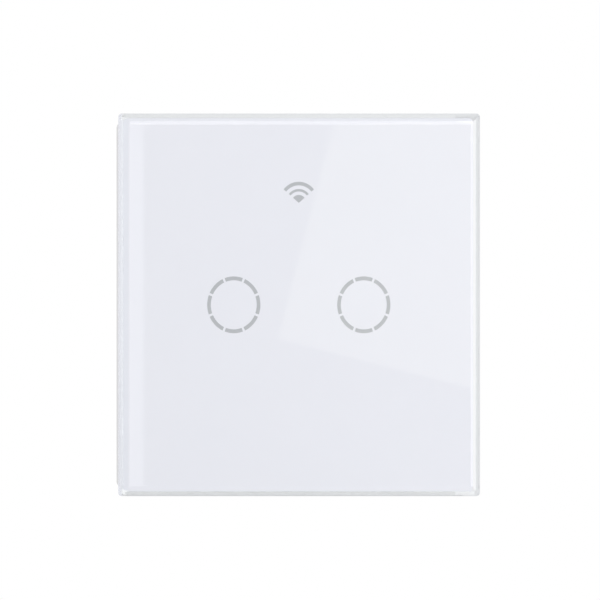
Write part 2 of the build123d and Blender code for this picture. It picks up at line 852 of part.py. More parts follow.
def relay_pins():
    """The places of the four pins: x and z of the middle, length in x and in z."""
    middle_yoke = (yoke_outer + yoke_inner) / 2
    blade_middle = blade_x + contact_blade_thickness / 2
    coil_pins = [(coil_pin_x, relay_z + side * coil_pin_spacing / 2, relay_pin_side, relay_pin_side)
                 for side in sides]
    return coil_pins + [
        (middle_yoke, relay_z, relay_pin_side, relay_pin_width),
        (blade_middle, relay_z, contact_blade_thickness, relay_pin_width),
    ]


def pin(x, z, x_length, z_length, y_from, y_to, growth=0):
    return inward(Pos(x, z) * Rectangle(x_length + 2 * growth, z_length + 2 * growth), y_from, y_to)


def relay_case():
    half = relay_length / 2
    back = power_board_back + relay_height
    case = relay_block(-half, half, power_board_back, back, relay_width)
    half_room = half - case_wall
    room = relay_block(-half_room, half_room, power_board_back - overrun, back - case_wall,
                       relay_width - 2 * case_wall)
    return case - room


def relay_base():
    front = power_board_back + relay_base_lift
    base = relay_block(-base_end, base_end, front, base_back, relay_width - 2 * (case_wall + case_fit))
    for place in relay_pins():
        base -= pin(*place, front - overrun, base_back + overrun)
    return base


def relay_bobbin():
    winding_front, winding_back = floor_back + bobbin_flange, flange_back - bobbin_flange
    bobbin = rod(coil_x, relay_z, bobbin_radius, floor_back, flange_back)
    groove = rod(coil_x, relay_z, bobbin_radius + overrun, winding_front, winding_back)
    bobbin -= groove - rod(coil_x, relay_z, bobbin_tube_radius, floor_back, flange_back)
    bore_radius = core_radius + core_fit
    return bobbin - rod(coil_x, relay_z, bore_radius, floor_back - overrun, flange_back + overrun)


def relay_coil():
    coil = rod(coil_x, relay_z, coil_radius, floor_back + bobbin_flange, flange_back - bobbin_flange)
    return coil - rod(coil_x, relay_z, bobbin_tube_radius, floor_back, flange_back)


def relay_iron():
    """The L-shaped yoke, and the core that is riveted into it and ends in the pole."""
    yoke = relay_block(yoke_outer, yoke_inner, base_back, yoke_back, yoke_width)
    yoke += relay_block(yoke_outer, floor_end, base_back, floor_back, yoke_width)
    core = rod(coil_x, relay_z, core_radius, floor_back, flange_back)
    core += rod(coil_x, relay_z, pole_radius, flange_back, pole_back)
    return yoke + core


def relay_contacts():
    """Coil pins, the common pin under the yoke, and the fixed contact on its blade."""
    coil_pins = [pin(*place, pins_front, base_back) for place in relay_pins()[:2]]
    common = pin(*relay_pins()[2], pins_front, base_back)
    blade = pin(*relay_pins()[3], pins_front, base_back)
    blade_end = blade_x + contact_blade_thickness
    blade += relay_block(blade_x, blade_end, base_back, blade_back, contact_leaf_width)
    blade += relay_block(contact_x - contact_radius, blade_end,
                         blade_back - contact_blade_thickness, blade_back, contact_leaf_width)
    blade += rod(contact_x, relay_z, contact_radius, blade_back, fixed_contact_back)
    return [*coil_pins, common, blade]


def opened(piece):
    """A piece of the armature, tipped about its pivot from the pulled-in place to its place at rest."""
    pivot = Pos(yoke_outer, armature_front, 0)
    return pivot * Rot(0, 0, armature_opening) * pivot.inverse() * piece


def relay_armature():
    return opened(relay_block(yoke_outer, armature_end, armature_front, leaf_front, armature_width))


def relay_contact_spring():
    """A leaf riveted on the armature: one end has the moving contact, the other bends round the yoke."""
    leaf_back = leaf_front + contact_leaf_thickness
    leg_inner = yoke_outer - contact_leaf_leg_gap
    leg_outer = leg_inner - contact_leaf_thickness
    leaf = relay_block(leg_outer, contact_x + contact_radius, leaf_front, leaf_back, contact_leaf_width)
    leaf += relay_block(leg_outer, leg_inner, leaf_back - contact_leaf_leg, leaf_back, contact_leaf_width)
    leaf += rod(contact_x, relay_z, contact_radius, leaf_front - moving_contact_height, leaf_front)
    return opened(leaf)


for name, place in relay_places.items():
    there = Pos(place, 0, 0)
    write(f"{name}_relay_case", there * relay_case())
    write(f"{name}_relay_base", there * relay_base())
    write(f"{name}_relay_bobbin", there * relay_bobbin())
    write(f"{name}_relay_coil", there * relay_coil())
    write(f"{name}_relay_iron", there * relay_iron())
    write(f"{name}_relay_contacts", *[there * piece for piece in relay_contacts()])
    write(f"{name}_relay_armature", there * relay_armature())
    write(f"{name}_relay_spring", there * relay_contact_spring())

# Transformer: two E-shaped ferrite halves round a winding on a moulded former
transformer_place_share = -0.272
core_overhang = 0.1
core_height = 11.4
core_thickness_share = 0.4375
core_leg_share = 0.266
core_outer_leg_share = 0.148
core_bridge = 2.0
former_foot_height = 1.6
former_wall = 0.6
winding_gap = 0.25
winding_inset = 0.3
winding_rounding_share = 0.125
transformer_x = body_inner_side * transformer_place_share
transformer_z = row_bottom + transformer_side / 2
core_width = transformer_side + 2 * core_overhang
core_thickness = transformer_side * core_thickness_share
core_leg_width = transformer_side * core_leg_share
core_outer_leg = transformer_side * core_outer_leg_share
winding_depth = transformer_side - 2 * winding_inset
winding_rounding = transformer_side * winding_rounding_share
core_front = power_board_back + former_foot_height
core_back = core_front + core_height


def centred_block(x, z, width, height, y_from, y_to):
    return inward(Pos(x, z) * Rectangle(width, height), y_from, y_to)


def transformer_core():
    core = centred_block(transformer_x, transformer_z, core_width, core_thickness, core_front, core_back)
    window = (core_width - core_leg_width) / 2 - core_outer_leg
    for side in sides:
        window_x = transformer_x + side * (core_leg_width + window) / 2
        core -= centred_block(window_x, transformer_z, window, core_thickness + 2 * overrun,
                              core_front + core_bridge, core_back - core_bridge)
    return core


def transformer_winding():
    """The foot on the board and the wound former round the core's middle leg."""
    foot = centred_block(transformer_x, transformer_z, transformer_side, transformer_side,
                         power_board_back, core_front)
    window = (core_width - core_leg_width) / 2 - core_outer_leg
    width = core_leg_width + 2 * (window - winding_gap)
    outline = Pos(transformer_x, transformer_z) * RectangleRounded(width, winding_depth, winding_rounding)
    outline -= Pos(transformer_x, transformer_z) * Rectangle(core_leg_width, core_thickness)
    winding = inward(outline, core_front + core_bridge + former_wall, core_back - core_bridge - former_wall)
    flange = Rectangle(width, winding_depth) - Rectangle(core_leg_width, core_thickness)
    flange = Pos(transformer_x, transformer_z) * flange
    lower = inward(flange, core_front + core_bridge, core_front + core_bridge + former_wall)
    upper = inward(flange, core_back - core_bridge - former_wall, core_back - core_bridge)
    posts = [
        centred_block(transformer_x, transformer_z + side * (core_thickness + transformer_side) / 4,
                      core_leg_width, (transformer_side - core_thickness) / 2 - 2 * former_wall,
                      core_front, core_front + core_bridge)
        for side in sides
    ]
    return [foot + posts[0] + posts[1] + lower, winding, upper]


write("transformer_core", transformer_core())
write("transformer_winding", *transformer_winding())

# Capacitors: two cans with a rolled groove near the foot
large_can_place_share = -0.208
small_can_place_share = 0.009
small_can_share = 0.79
large_can_height = 12.5
small_can_height = 11.0
large_can_x = body_inner_side * large_can_place_share
small_can_x = body_inner_side * small_can_place_share
large_can_radius = can_diameter / 2
small_can_radius = large_can_radius * small_can_share
can_row_top = body_inner_side / 2 - can_row_gap
groove_height = 1.6
groove_radius = 0.35
can_rounding = 0.5


def capacitor(x, z, radius, height):
    can = rod(x, z, radius, power_board_back, power_board_back + height)
    can = fillet(can.edges().group_by(Axis.Y)[-1], can_rounding)
    groove = room_plane(power_board_back + groove_height) * Pos(x, z) * Torus(radius, groove_radius)
    return can - groove


large_can = capacitor(large_can_x, can_row_top - large_can_radius, large_can_radius, large_can_height)
small_can = capacitor(small_can_x, can_row_top - small_can_radius, small_can_radius, small_can_height)
write("capacitors", large_can, small_can)

# Varistor: a coated disc on two leads
varistor_place_share = 0.027
varistor_rise_share = 0.33
varistor_radius_share = 0.28
varistor_thickness = 3.4
varistor_rounding = 1.0
varistor_x = body_inner_side * varistor_place_share
varistor_z = row_bottom + transformer_side * varistor_rise_share
varistor_radius = transformer_side * varistor_radius_share
lead_radius = 0.35
lead_length = 1.5
varistor_lead_inset = 1.1
varistor_lead_spacing = 2 * (varistor_radius - varistor_lead_inset)


def varistor():
    centre_y = power_board_back + lead_length + varistor_radius
    disc = Pos(varistor_x, centre_y, varistor_z) * Cylinder(varistor_radius, varistor_thickness)
    disc = fillet(disc.edges().filter_by(GeomType.CIRCLE), varistor_rounding)
    for side in sides:
        lead_x = varistor_x + side * varistor_lead_spacing / 2
        disc += rod(lead_x, varistor_z, lead_radius, power_board_back, centre_y)
    return disc


write("varistor", varistor())

# Fuse: a ceramic tube with two metal caps, standing off the board on short leads
fuse_place_share = 0.29
fuse_rise_share = 0.203
fuse_length_share = 0.78
fuse_radius = 1.6
fuse_x = body_inner_side * fuse_place_share
fuse_z = row_bottom + transformer_side * fuse_rise_share
fuse_length = transformer_side * fuse_length_share
fuse_cap_length = 2.2
fuse_cap_wall = 0.2
fuse_lift = 0.8


def fuse():
    axis_y = power_board_back + fuse_lift + fuse_radius + fuse_cap_wall
    sideways = Pos(fuse_x, axis_y, fuse_z) * Rot(0, 90, 0)
    tube = sideways * Cylinder(fuse_radius, fuse_length - 2 * fuse_cap_length)
    pieces = [tube]
    for side in sides:
        cap_x = side * (fuse_length - fuse_cap_length) / 2
        cap = Pos(cap_x, 0, 0) * sideways * Cylinder(fuse_radius + fuse_cap_wall, fuse_cap_length)
        pieces.append(cap + rod(fuse_x + cap_x, fuse_z, lead_radius, power_board_back, axis_y))
    return pieces


write("fuse", *fuse())

# Bridge rectifier: a flat package with two legs on each side
rectifier_place_share = 0.326
rectifier_rise_share = 0.68
rectifier_length_share = 0.5
rectifier_width_share = 0.39
rectifier_leg_pitch_share = 0.3
rectifier_height = 2.5
rectifier_x = body_inner_side * rectifier_place_share
rectifier_z = row_bottom + transformer_side * rectifier_rise_share
rectifier_length = transformer_side * rectifier_length_share
rectifier_width = transformer_side * rectifier_width_share
rectifier_leg_pitch = transformer_side * rectifier_leg_pitch_share
rectifier_body = centred_block(
    rectifier_x, rectifier_z, rectifier_width, rectifier_length,
    power_board_back + chip_standoff, power_board_back + chip_standoff + rectifier_height
)
rectifier_legs = bent_legs(
    rectifier_x, rectifier_z, rectifier_width,
    power_board_back, rectifier_height / 2, 2, rectifier_leg_pitch,
)
write("bridge_rectifier", rectifier_body, *rectifier_legs)

# Choke: a ferrite bobbin with a copper winding
choke_place_share = 0.21
choke_share = 0.8
choke_core_share = 0.47
choke_winding_inset = 0.4
choke_height = 8.0
choke_flange = 1.0
choke_x = body_inner_side * choke_place_share
choke_radius = large_can_radius * choke_share
choke_z = can_row_top - choke_radius
choke_core_radius = choke_radius * choke_core_share
choke_winding_radius = choke_radius - choke_winding_inset


def choke():
    back = power_board_back + choke_height
    winding_front = power_board_back + choke_flange
    winding_back = back - choke_flange
    core = rod(choke_x, choke_z, choke_core_radius, winding_front, winding_back)
    winding = rod(choke_x, choke_z, choke_winding_radius, winding_front, winding_back) - core
    groove = rod(choke_x, choke_z, choke_radius + overrun, winding_front, winding_back) - core
    bobbin = rod(choke_x, choke_z, choke_radius, power_board_back, back) - groove
    return [bobbin, winding]


write("choke", *choke())

# Power board: stands on the housing's posts and carries what is behind it. Its screws go into the posts.
power_board_gap = 0.4
board_screw_radius = 0.9
board_screw_length = 7.0
board_screw_fit = 0.15


def power_board():
    side = body_inner_side - 2 * power_board_gap
    outline = chamfered_square(side, body_inner_cut)
    for x, z in post_places:
        outline -= Pos(x, z) * Circle(board_screw_radius + board_screw_fit)
    for x in header_places:
        hole_side = header_pin_side + 2 * pin_fit
        outline -= Pos(x, header_z) * Rectangle(hole_side, hole_side)
    tail_z = (leg_bottom + leg_top) / 2
    for x in pole_places:
        outline -= Pos(x, tail_z) * Rectangle(tail_width + 2 * tail_fit, bar_thickness + 2 * tail_fit)
    board = inward(outline, power_board_front, power_board_back)
    for place in relay_places.values():
        for x, *rest in relay_pins():
            board -= pin(x + place, *rest, power_board_front - overrun, power_board_back + overrun, pin_fit)
    return board


write("power_board", power_board())
board_screws = [
    cross_recess_screw(x, z, power_board_front - screw_head_height, board_screw_radius,
                       power_board_back + board_screw_length)
    for x, z in post_places
]
write("board_screws", *board_screws)
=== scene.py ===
"""Touch light switch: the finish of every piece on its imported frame, then the floor, light and camera."""

import math

import bmesh
import bpy
from mathutils import Matrix, Vector


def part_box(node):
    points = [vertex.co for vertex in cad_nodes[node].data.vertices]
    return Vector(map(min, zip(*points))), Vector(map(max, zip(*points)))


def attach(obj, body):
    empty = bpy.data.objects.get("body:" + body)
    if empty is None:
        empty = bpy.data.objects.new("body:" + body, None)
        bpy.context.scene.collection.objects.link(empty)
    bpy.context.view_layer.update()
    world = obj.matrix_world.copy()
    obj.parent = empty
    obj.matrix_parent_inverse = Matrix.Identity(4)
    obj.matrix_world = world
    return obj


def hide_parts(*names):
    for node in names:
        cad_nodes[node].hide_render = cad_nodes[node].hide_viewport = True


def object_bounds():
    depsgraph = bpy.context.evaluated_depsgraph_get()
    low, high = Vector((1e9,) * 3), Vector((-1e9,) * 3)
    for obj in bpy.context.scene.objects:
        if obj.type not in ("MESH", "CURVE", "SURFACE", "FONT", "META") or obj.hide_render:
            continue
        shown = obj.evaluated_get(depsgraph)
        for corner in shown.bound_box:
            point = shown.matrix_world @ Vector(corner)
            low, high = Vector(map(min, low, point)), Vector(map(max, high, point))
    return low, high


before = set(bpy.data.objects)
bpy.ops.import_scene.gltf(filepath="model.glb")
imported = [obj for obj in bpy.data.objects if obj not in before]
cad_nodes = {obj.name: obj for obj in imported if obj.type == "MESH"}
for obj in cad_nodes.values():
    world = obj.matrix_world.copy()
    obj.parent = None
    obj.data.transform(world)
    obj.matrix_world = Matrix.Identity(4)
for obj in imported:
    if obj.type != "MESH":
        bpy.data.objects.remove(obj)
cad_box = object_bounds()
mm = 0.001

# Rear housing
# The body that goes into the wall box, moulded in pale polycarbonate with a spark-eroded skin. Its flange
# lies over the mounting frame, its posts hold the power board, and its back is open for the terminals.
join_reach = 0.0005 * mm
flat_angle = math.radians(0.5)
sharp_angle = math.radians(35)
housing_edge = 0.22 * mm
finishes = {}


def new_object(name, data):
    """A new object in the scene."""
    thing = bpy.data.objects.new(name, data)
    bpy.context.scene.collection.objects.link(thing)
    return thing


def joined_shape(mesh, faces_kept=None):
    """A bmesh of a mesh's faces, or of those kept, with the points that meet joined."""
    shape = bmesh.new()
    shape.from_mesh(mesh)
    if faces_kept:
        others = [face for face in shape.faces if not faces_kept(face)]
        bmesh.ops.delete(shape, geom=others, context="FACES")
    bmesh.ops.remove_doubles(shape, verts=shape.verts, dist=join_reach)
    return shape


def solids_of(shape):
    """The separate solids of a bmesh, each as its lowest corner, its highest corner and its points."""
    left = set(shape.verts)
    solids = []
    for first in shape.verts:
        if first not in left:
            continue
        left.remove(first)
        reached, points = [first], []
        while reached:
            point = reached.pop()
            points.append(point)
            near = {edge.other_vert(point) for edge in point.link_edges} & left
            left -= near
            reached.extend(near)
        low = Vector(min(point.co[axis] for point in points) for axis in range(3))
        high = Vector(max(point.co[axis] for point in points) for axis in range(3))
        solids.append((low, high, points))
    return solids


def fit(piece, slot, *nodes, body="wall_unit"):
    """Puts the piece on its body, in the place of those CAD nodes, which it hides. Its slot is not used."""
    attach(piece, body)
    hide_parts(*nodes)


def eased_piece(node, slot, width, name=None, body="wall_unit", finish=None, kept=None, faces_kept=None):
    """A CAD node's solids or faces, or those kept, in their finish and with their sharp edges eased."""
    name = name or f"{node}_made"
    mesh = cad_nodes[node].data.copy()
    mesh.name = name
    mesh.materials.clear()
    if "custom_normal" in mesh.attributes:
        mesh.attributes.remove(mesh.attributes["custom_normal"])
    shape = joined_shape(mesh, faces_kept)
    if kept:
        dropped = [point for low, high, points in solids_of(shape) if not kept(low, high) for point in points]
        bmesh.ops.delete(shape, geom=dropped, context="VERTS")
    bmesh.ops.dissolve_limit(shape, angle_limit=flat_angle, verts=shape.verts, edges=shape.edges)
    for part in (*shape.edges, *shape.faces):
        part.smooth = True
    shape.to_mesh(mesh)
    shape.free()
    piece = new_object(name, mesh)
    mesh.materials.append(finishes[finish or slot])
    easing = piece.modifiers.new("eased_edges", "BEVEL")
    easing.width = width
    easing.segments = 2
    easing.limit_method = "ANGLE"
    easing.angle_limit = sharp_angle
    easing.harden_normals = True
    fit(piece, slot, node, body=body)


def add_node(tree, kind, inputs=None, **settings):
    """A node of that kind with its settings, its inputs set to values or linked to outputs."""
    node = tree.nodes.new(kind)
    for setting, value in settings.items():
        setattr(node, setting, value)
    for socket, value in (inputs or {}).items():
        if isinstance(value, bpy.types.NodeSocket):
            tree.links.new(value, node.inputs[socket])
        else:
            node.inputs[socket].default_value = value
    return node


def result(tree, kind, inputs=None, **settings):
    """The first output of such a node."""
    return add_node(tree, kind, inputs, **settings).outputs[0]


def labelled(values):
    """The values under the labels of their sockets, such as Coat Weight for coat_weight."""
    return {" ".join(part[0].upper() + part[1:] for part in word.split("_")): values[word] for word in values}


def effect_group(name, **inputs):
    """An empty group for a surface effect, and its inputs. An input with no value is a place."""
    group = bpy.data.node_groups.new(name, "ShaderNodeTree")
    for label, value in inputs.items():
        kind = "NodeSocketVector" if value is None or isinstance(value, tuple) else "NodeSocketFloat"
        socket = group.interface.new_socket(label, in_out="INPUT", socket_type=kind)
        if value is not None:
            socket.default_value = value
    return group, group.nodes.new("NodeGroupInput").outputs


def end_group(group, **outputs):
    """Ends the group with its outputs."""
    for label in outputs:
        group.interface.new_socket(label, in_out="OUTPUT", socket_type="NodeSocketFloat")
    add_node(group, "NodeGroupOutput", outputs)
    return group


def noise(tree, place, scale, detail=2.0, **more):
    """A noise over the surface, from 0 to 1."""
    return result(tree, "ShaderNodeTexNoise", {"Vector": place, "Scale": scale, "Detail": detail, **more})


def calc(tree, operation, *values):
    """One step of arithmetic on values or outputs."""
    return result(tree, "ShaderNodeMath", dict(enumerate(values)), operation=operation)


def spread(tree, value, low, high, from_low=0.25, from_high=0.75):
    """A value laid out again between low and high."""
    inputs = {"Value": value, "From Min": from_low, "From Max": from_high, "To Min": low, "To Max": high}
    return result(tree, "ShaderNodeMapRange", inputs)


def between(tree, amount, first, second):
    """A colour between two others."""
    inputs = {0: amount, 6: (*first, 1.0), 7: (*second, 1.0)}
    return add_node(tree, "ShaderNodeMix", inputs, data_type="RGBA").outputs[2]


def grain_group():
    """The skin that a mould leaves: fine pits, and slow drifts of shade and of gloss."""
    group, given = effect_group("moulded_grain", Place=None, Fineness=2500.0)
    place, fineness = given["Place"], given["Fineness"]
    pits = noise(group, place, fineness, 3.0)
    cells = result(group, "ShaderNodeTexVoronoi", {"Vector": place, "Scale": fineness})
    specks = calc(group, "MULTIPLY", calc(group, "SUBTRACT", pits, 0.5), 0.25)
    shade = calc(group, "ADD", noise(group, place, 70.0), specks)
    handled = noise(group, place, 260.0, 4.0, Distortion=1.2)
    return end_group(group, Height=calc(group, "ADD", pits, cells), Shade=shade, Gloss=handled)


moulded_grain = grain_group()


def new_finish(name):
    """An empty material, kept under its name: its node tree and the place on the surface."""
    finishes[name] = bpy.data.materials.new(name)
    finishes[name].use_nodes = True
    tree = finishes[name].node_tree
    tree.nodes.clear()
    return tree, add_node(tree, "ShaderNodeTexCoord").outputs["Object"]


def end_finish(tree, **sockets):
    """Ends the material with a plain surface of those sockets."""
    skin = result(tree, "ShaderNodeBsdfPrincipled", labelled(sockets))
    add_node(tree, "ShaderNodeOutputMaterial", {"Surface": skin})


def pattern(tree, group, place, **given):
    """What an effect's group gives at the place."""
    return add_node(tree, "ShaderNodeGroup", {"Place": place, **given}, node_tree=group).outputs


def raised(tree, height, depth):
    """The normal of a surface with that height pattern, that deep."""
    return result(tree, "ShaderNodeBump", {"Height": height, "Distance": depth, "Strength": 1.0})


def moulded(name, dark, light, glossy, dull, fineness=2500.0, depth=0.004 * mm, **plain):
    """Moulded plastic between two close shades and two roughnesses, its grain that fine and that deep."""
    tree, place = new_finish(name)
    grain = pattern(tree, moulded_grain, place, Fineness=fineness)
    end_finish(
        tree, base_color=between(tree, grain["Shade"], dark, light),
        roughness=spread(tree, grain["Gloss"], glossy, dull), normal=raised(tree, grain["Height"], depth),
        **plain,
    )


moulded(
    "housing_plastic", (0.64, 0.64, 0.615), (0.77, 0.77, 0.75), 0.38, 0.62, fineness=1500.0, depth=0.03 * mm
)
eased_piece("rear_housing", "housing_plastic", housing_edge)

# Mounting frame
# A square plate of 1.2 mm zinc-plated steel, pressed out, with a slot for each wall screw. It is clamped
# between the wall and the housing's flange.
plate_edge = 0.15 * mm


def streak_group():
    """Rolled metal: streaks along the sheet, and patches where the plating took more or less."""
    group, given = effect_group("rolled_streaks", Place=None, Stretch=(80.0, 2500.0, 2500.0))
    place = given["Place"]
    drawn = result(group, "ShaderNodeVectorMath", {0: place, 1: given["Stretch"]}, operation="MULTIPLY")
    streak = noise(group, drawn, 1.0, 4.0)
    patch = noise(group, place, 190.0, 5.0, Distortion=0.8)
    fine = calc(group, "MULTIPLY", noise(group, place, 5000.0), 0.4)
    return end_group(group, Streak=streak, Patch=patch, Height=calc(group, "ADD", streak, fine))


rolled_streaks = streak_group()


def sheet_metal(name, dark, light, polished, dull, stretch=(80.0, 2500.0, 2500.0), depth=0.002 * mm):
    """Bare or plated metal between two shades, with streaks drawn out along its longest way."""
    tree, place = new_finish(name)
    rolled = pattern(tree, rolled_streaks, place, Stretch=stretch)
    wiped = calc(tree, "MULTIPLY", calc(tree, "ADD", rolled["Streak"], rolled["Patch"]), 0.5)
    end_finish(
        tree, base_color=between(tree, rolled["Patch"], dark, light), metallic=1.0,
        roughness=spread(tree, wiped, polished, dull, 0.35, 0.65),
        normal=raised(tree, rolled["Height"], depth),
    )


sheet_metal("zinc_steel", (0.60, 0.62, 0.64), (0.74, 0.745, 0.74), 0.24, 0.46)
eased_piece("mounting_frame", "zinc_steel", plate_edge)

# Panel clips
# Four leaves of bright spring-steel strip, two above and two below. Each foot is spot-welded to the frame,
# and each bowed crown presses inside the carrier's rim.
clip_edge = 0.06 * mm
foot_thickness = 0.3 * mm
weld_radius = 0.8 * mm
weld_height = 0.05 * mm
weld_spread = 4.0 * mm
weld_inset = 1.1 * mm
room_turn = (math.radians(90), 0.0, 0.0)

sheet_metal(
    "spring_steel", (0.50, 0.51, 0.52), (0.66, 0.665, 0.67), 0.16, 0.32, stretch=(2500.0, 2500.0, 80.0)
)
eased_piece("panel_clips", "spring_steel", clip_edge)


def solid_boxes(node):
    """The lowest and highest corner of each solid in a CAD node, from left to right."""
    shape = joined_shape(cad_nodes[node].data)
    boxes = [(low, high) for low, high, points in solids_of(shape)]
    shape.free()
    return sorted(boxes, key=lambda box: tuple(box[0]))


def sized_tree(name, **sizes):
    """An empty Geometry Nodes tree that grows a piece from places, with those named sizes."""
    tree = bpy.data.node_groups.new(name, "GeometryNodeTree")
    tree.interface.new_socket("Places", in_out="INPUT", socket_type="NodeSocketGeometry")
    for label, value in labelled(sizes).items():
        kind = "NodeSocketInt" if isinstance(value, int) else "NodeSocketFloat"
        tree.interface.new_socket(label, in_out="INPUT", socket_type=kind).default_value = value
    tree.interface.new_socket("Piece", in_out="OUTPUT", socket_type="NodeSocketGeometry")
    return tree, tree.nodes.new("NodeGroupInput").outputs


def end_tree(tree, geometry, finish):
    """Ends the tree: its instances made real, and its finish put on."""
    real = result(tree, "GeometryNodeRealizeInstances", {"Geometry": geometry})
    painted = result(tree, "GeometryNodeSetMaterial", {"Geometry": real, "Material": finishes[finish]})
    add_node(tree, "NodeGroupOutput", {"Piece": painted})
    return tree


def stood(tree, size, shape, turn=room_turn):
    """The shape stood on every place, turned to face the room or as told."""
    inputs = {"Points": size["Places"], "Instance": shape, "Rotation": turn}
    return result(tree, "GeometryNodeInstanceOnPoints", inputs)


def settle(piece, modifier):
    """Turns what the modifier makes of the piece into its own mesh."""
    made = bpy.data.meshes.new_from_object(piece.evaluated_get(bpy.context.evaluated_depsgraph_get()))
    piece.modifiers.remove(modifier)
    piece.data = made


def closed_shading(piece, sharp=sharp_angle):
    """Joins what meets, turns every face outwards, and shades the piece smooth but for its sharp edges."""
    shape = joined_shape(piece.data)
    bmesh.ops.recalc_face_normals(shape, faces=shape.faces)
    shape.to_mesh(piece.data)
    shape.free()
    piece.data.shade_smooth()
    piece.data.set_sharp_from_angle(angle=sharp)


def grown(name, tree, lines, slot, *nodes, body="wall_unit", **sizes):
    """Fits the piece that the tree grows from lines of places, with its sizes set by their names."""
    points, joins = [], []
    for line in lines:
        joins += [(len(points) + step, len(points) + step + 1) for step in range(len(line) - 1)]
        points += line
    seed = bpy.data.meshes.new(name)
    seed.from_pydata(points, joins, [])
    piece = new_object(name, seed)
    maker = piece.modifiers.new("maker", "NODES")
    maker.node_group = tree
    sizes = labelled(sizes)
    for item in tree.interface.items_tree:
        if item.in_out == "INPUT" and item.name in sizes:
            maker[item.identifier] = sizes[item.name]
    settle(piece, maker)
    closed_shading(piece)
    fit(piece, slot, *nodes, body=body)


def stud_tree(name, finish):
    """A low round stud at each place, standing towards the room, such as a weld or a pad."""
    tree, size = sized_tree(name, radius=1.0 * mm, height=0.1 * mm, top_share=0.7)
    top = calc(tree, "MULTIPLY", size["Radius"], size["Top Share"])
    stud = result(
        tree, "GeometryNodeMeshCone",
        {"Vertices": 20, "Radius Bottom": size["Radius"], "Radius Top": top, "Depth": size["Height"]},
    )
    return end_tree(tree, stood(tree, size, stud), finish)


def weld_places():
    """Two welds side by side on each clip's foot."""
    places = []
    for low, high in solid_boxes("panel_clips"):
        inner = low.z + weld_inset if low.z > 0 else high.z - weld_inset
        middle = (low.x + high.x) / 2
        for side in (-1, 1):
            places.append([Vector((middle + side * weld_spread / 2, high.y - foot_thickness, inner))])
    return places


sheet_metal("weld_steel", (0.30, 0.29, 0.28), (0.48, 0.46, 0.44), 0.3, 0.5)
weld_studs = stud_tree("weld_stud", "weld_steel")
grown("clip_welds", weld_studs, weld_places(), "spring_steel", radius=weld_radius, height=2 * weld_height)

# Frame screws
# Four pan-head screws of zinc-plated steel, their heads struck with a cross and their threads rolled. They
# pull the housing's flange and the frame together.
head_sides = 40
head_edge_steps = 5
turning_radius = 10 * mm
thread_sides = 24
shank_lap = 0.2 * mm
frame_screw_head = 1.3 * mm


def vector(tree, **parts):
    """A vector of those parts."""
    return result(tree, "ShaderNodeCombineXYZ", parts)


def point_parts(tree):
    """The three parts of each point's place."""
    place = result(tree, "GeometryNodeInputPosition")
    return add_node(tree, "ShaderNodeSeparateXYZ", {"Vector": place}).outputs


def moved(tree, geometry, **way):
    """The geometry moved that way."""
    return result(tree, "GeometryNodeTransform", {"Geometry": geometry, "Translation": vector(tree, **way)})


def drawn_in(tree, rod, at, share):
    """The rod with each of its points drawn in to that share of its radius."""
    across = {axis: calc(tree, "MULTIPLY", at[axis], share) for axis in ("X", "Y")}
    place = vector(tree, Z=at["Z"], **across)
    return result(tree, "GeometryNodeSetPosition", {"Geometry": rod, "Position": place})


def round_line(tree, corners, radius):
    """A circle of that many corners, to sweep round or along."""
    return result(tree, "GeometryNodeCurvePrimitiveCircle", {"Resolution": corners, "Radius": radius})


def pan_head(tree, size):
    """A half section with one rounded corner, turned round the screw's axis."""
    sides = {"Width": size["Head Radius"], "Height": size["Head Height"]}
    block = result(tree, "GeometryNodeCurvePrimitiveQuadrilateral", sides)
    at = point_parts(tree)
    outer, upper = calc(tree, "GREATER_THAN", at["X"], 0.0), calc(tree, "LESS_THAN", at["Y"], 0.0)
    rounding = calc(tree, "MULTIPLY", calc(tree, "MULTIPLY", outer, upper), size["Head Rounding"])
    inputs = {"Curve": block, "Count": head_edge_steps, "Radius": rounding}
    rounded = result(tree, "GeometryNodeFilletCurve", inputs, mode="POLY")
    outwards = calc(tree, "SUBTRACT", calc(tree, "DIVIDE", size["Head Radius"], 2.0), turning_radius)
    profile = moved(tree, rounded, X=outwards, Y=calc(tree, "DIVIDE", size["Head Height"], -2.0))
    inputs = {"Curve": round_line(tree, head_sides, turning_radius), "Profile Curve": profile}
    head = result(tree, "GeometryNodeCurveToMesh", inputs)
    return result(tree, "GeometryNodeMergeByDistance", {"Geometry": head, "Distance": join_reach})


def threaded_shank(tree, size):
    """A rod whose points are drawn in along a thread that winds round it."""
    rod = result(
        tree, "GeometryNodeMeshCylinder",
        {
            "Vertices": thread_sides, "Side Segments": size["Thread Rings"], "Radius": size["Shank Radius"],
            "Depth": size["Shank Length"],
        },
    )
    at = point_parts(tree)
    turn = calc(tree, "DIVIDE", calc(tree, "ARCTAN2", at["Y"], at["X"]), 2 * math.pi)
    wound = calc(tree, "SUBTRACT", calc(tree, "DIVIDE", at["Z"], size["Thread Pitch"]), turn)
    flank = calc(tree, "MULTIPLY", calc(tree, "PINGPONG", wound, 0.5), 2.0)
    cut = calc(tree, "MULTIPLY", flank, size["Thread Height"])
    share = calc(tree, "SUBTRACT", 1.0, calc(tree, "DIVIDE", cut, size["Shank Radius"]))
    sink = calc(tree, "SUBTRACT", shank_lap, calc(tree, "DIVIDE", size["Shank Length"], 2.0))
    return moved(tree, drawn_in(tree, rod, at, share), Z=sink)


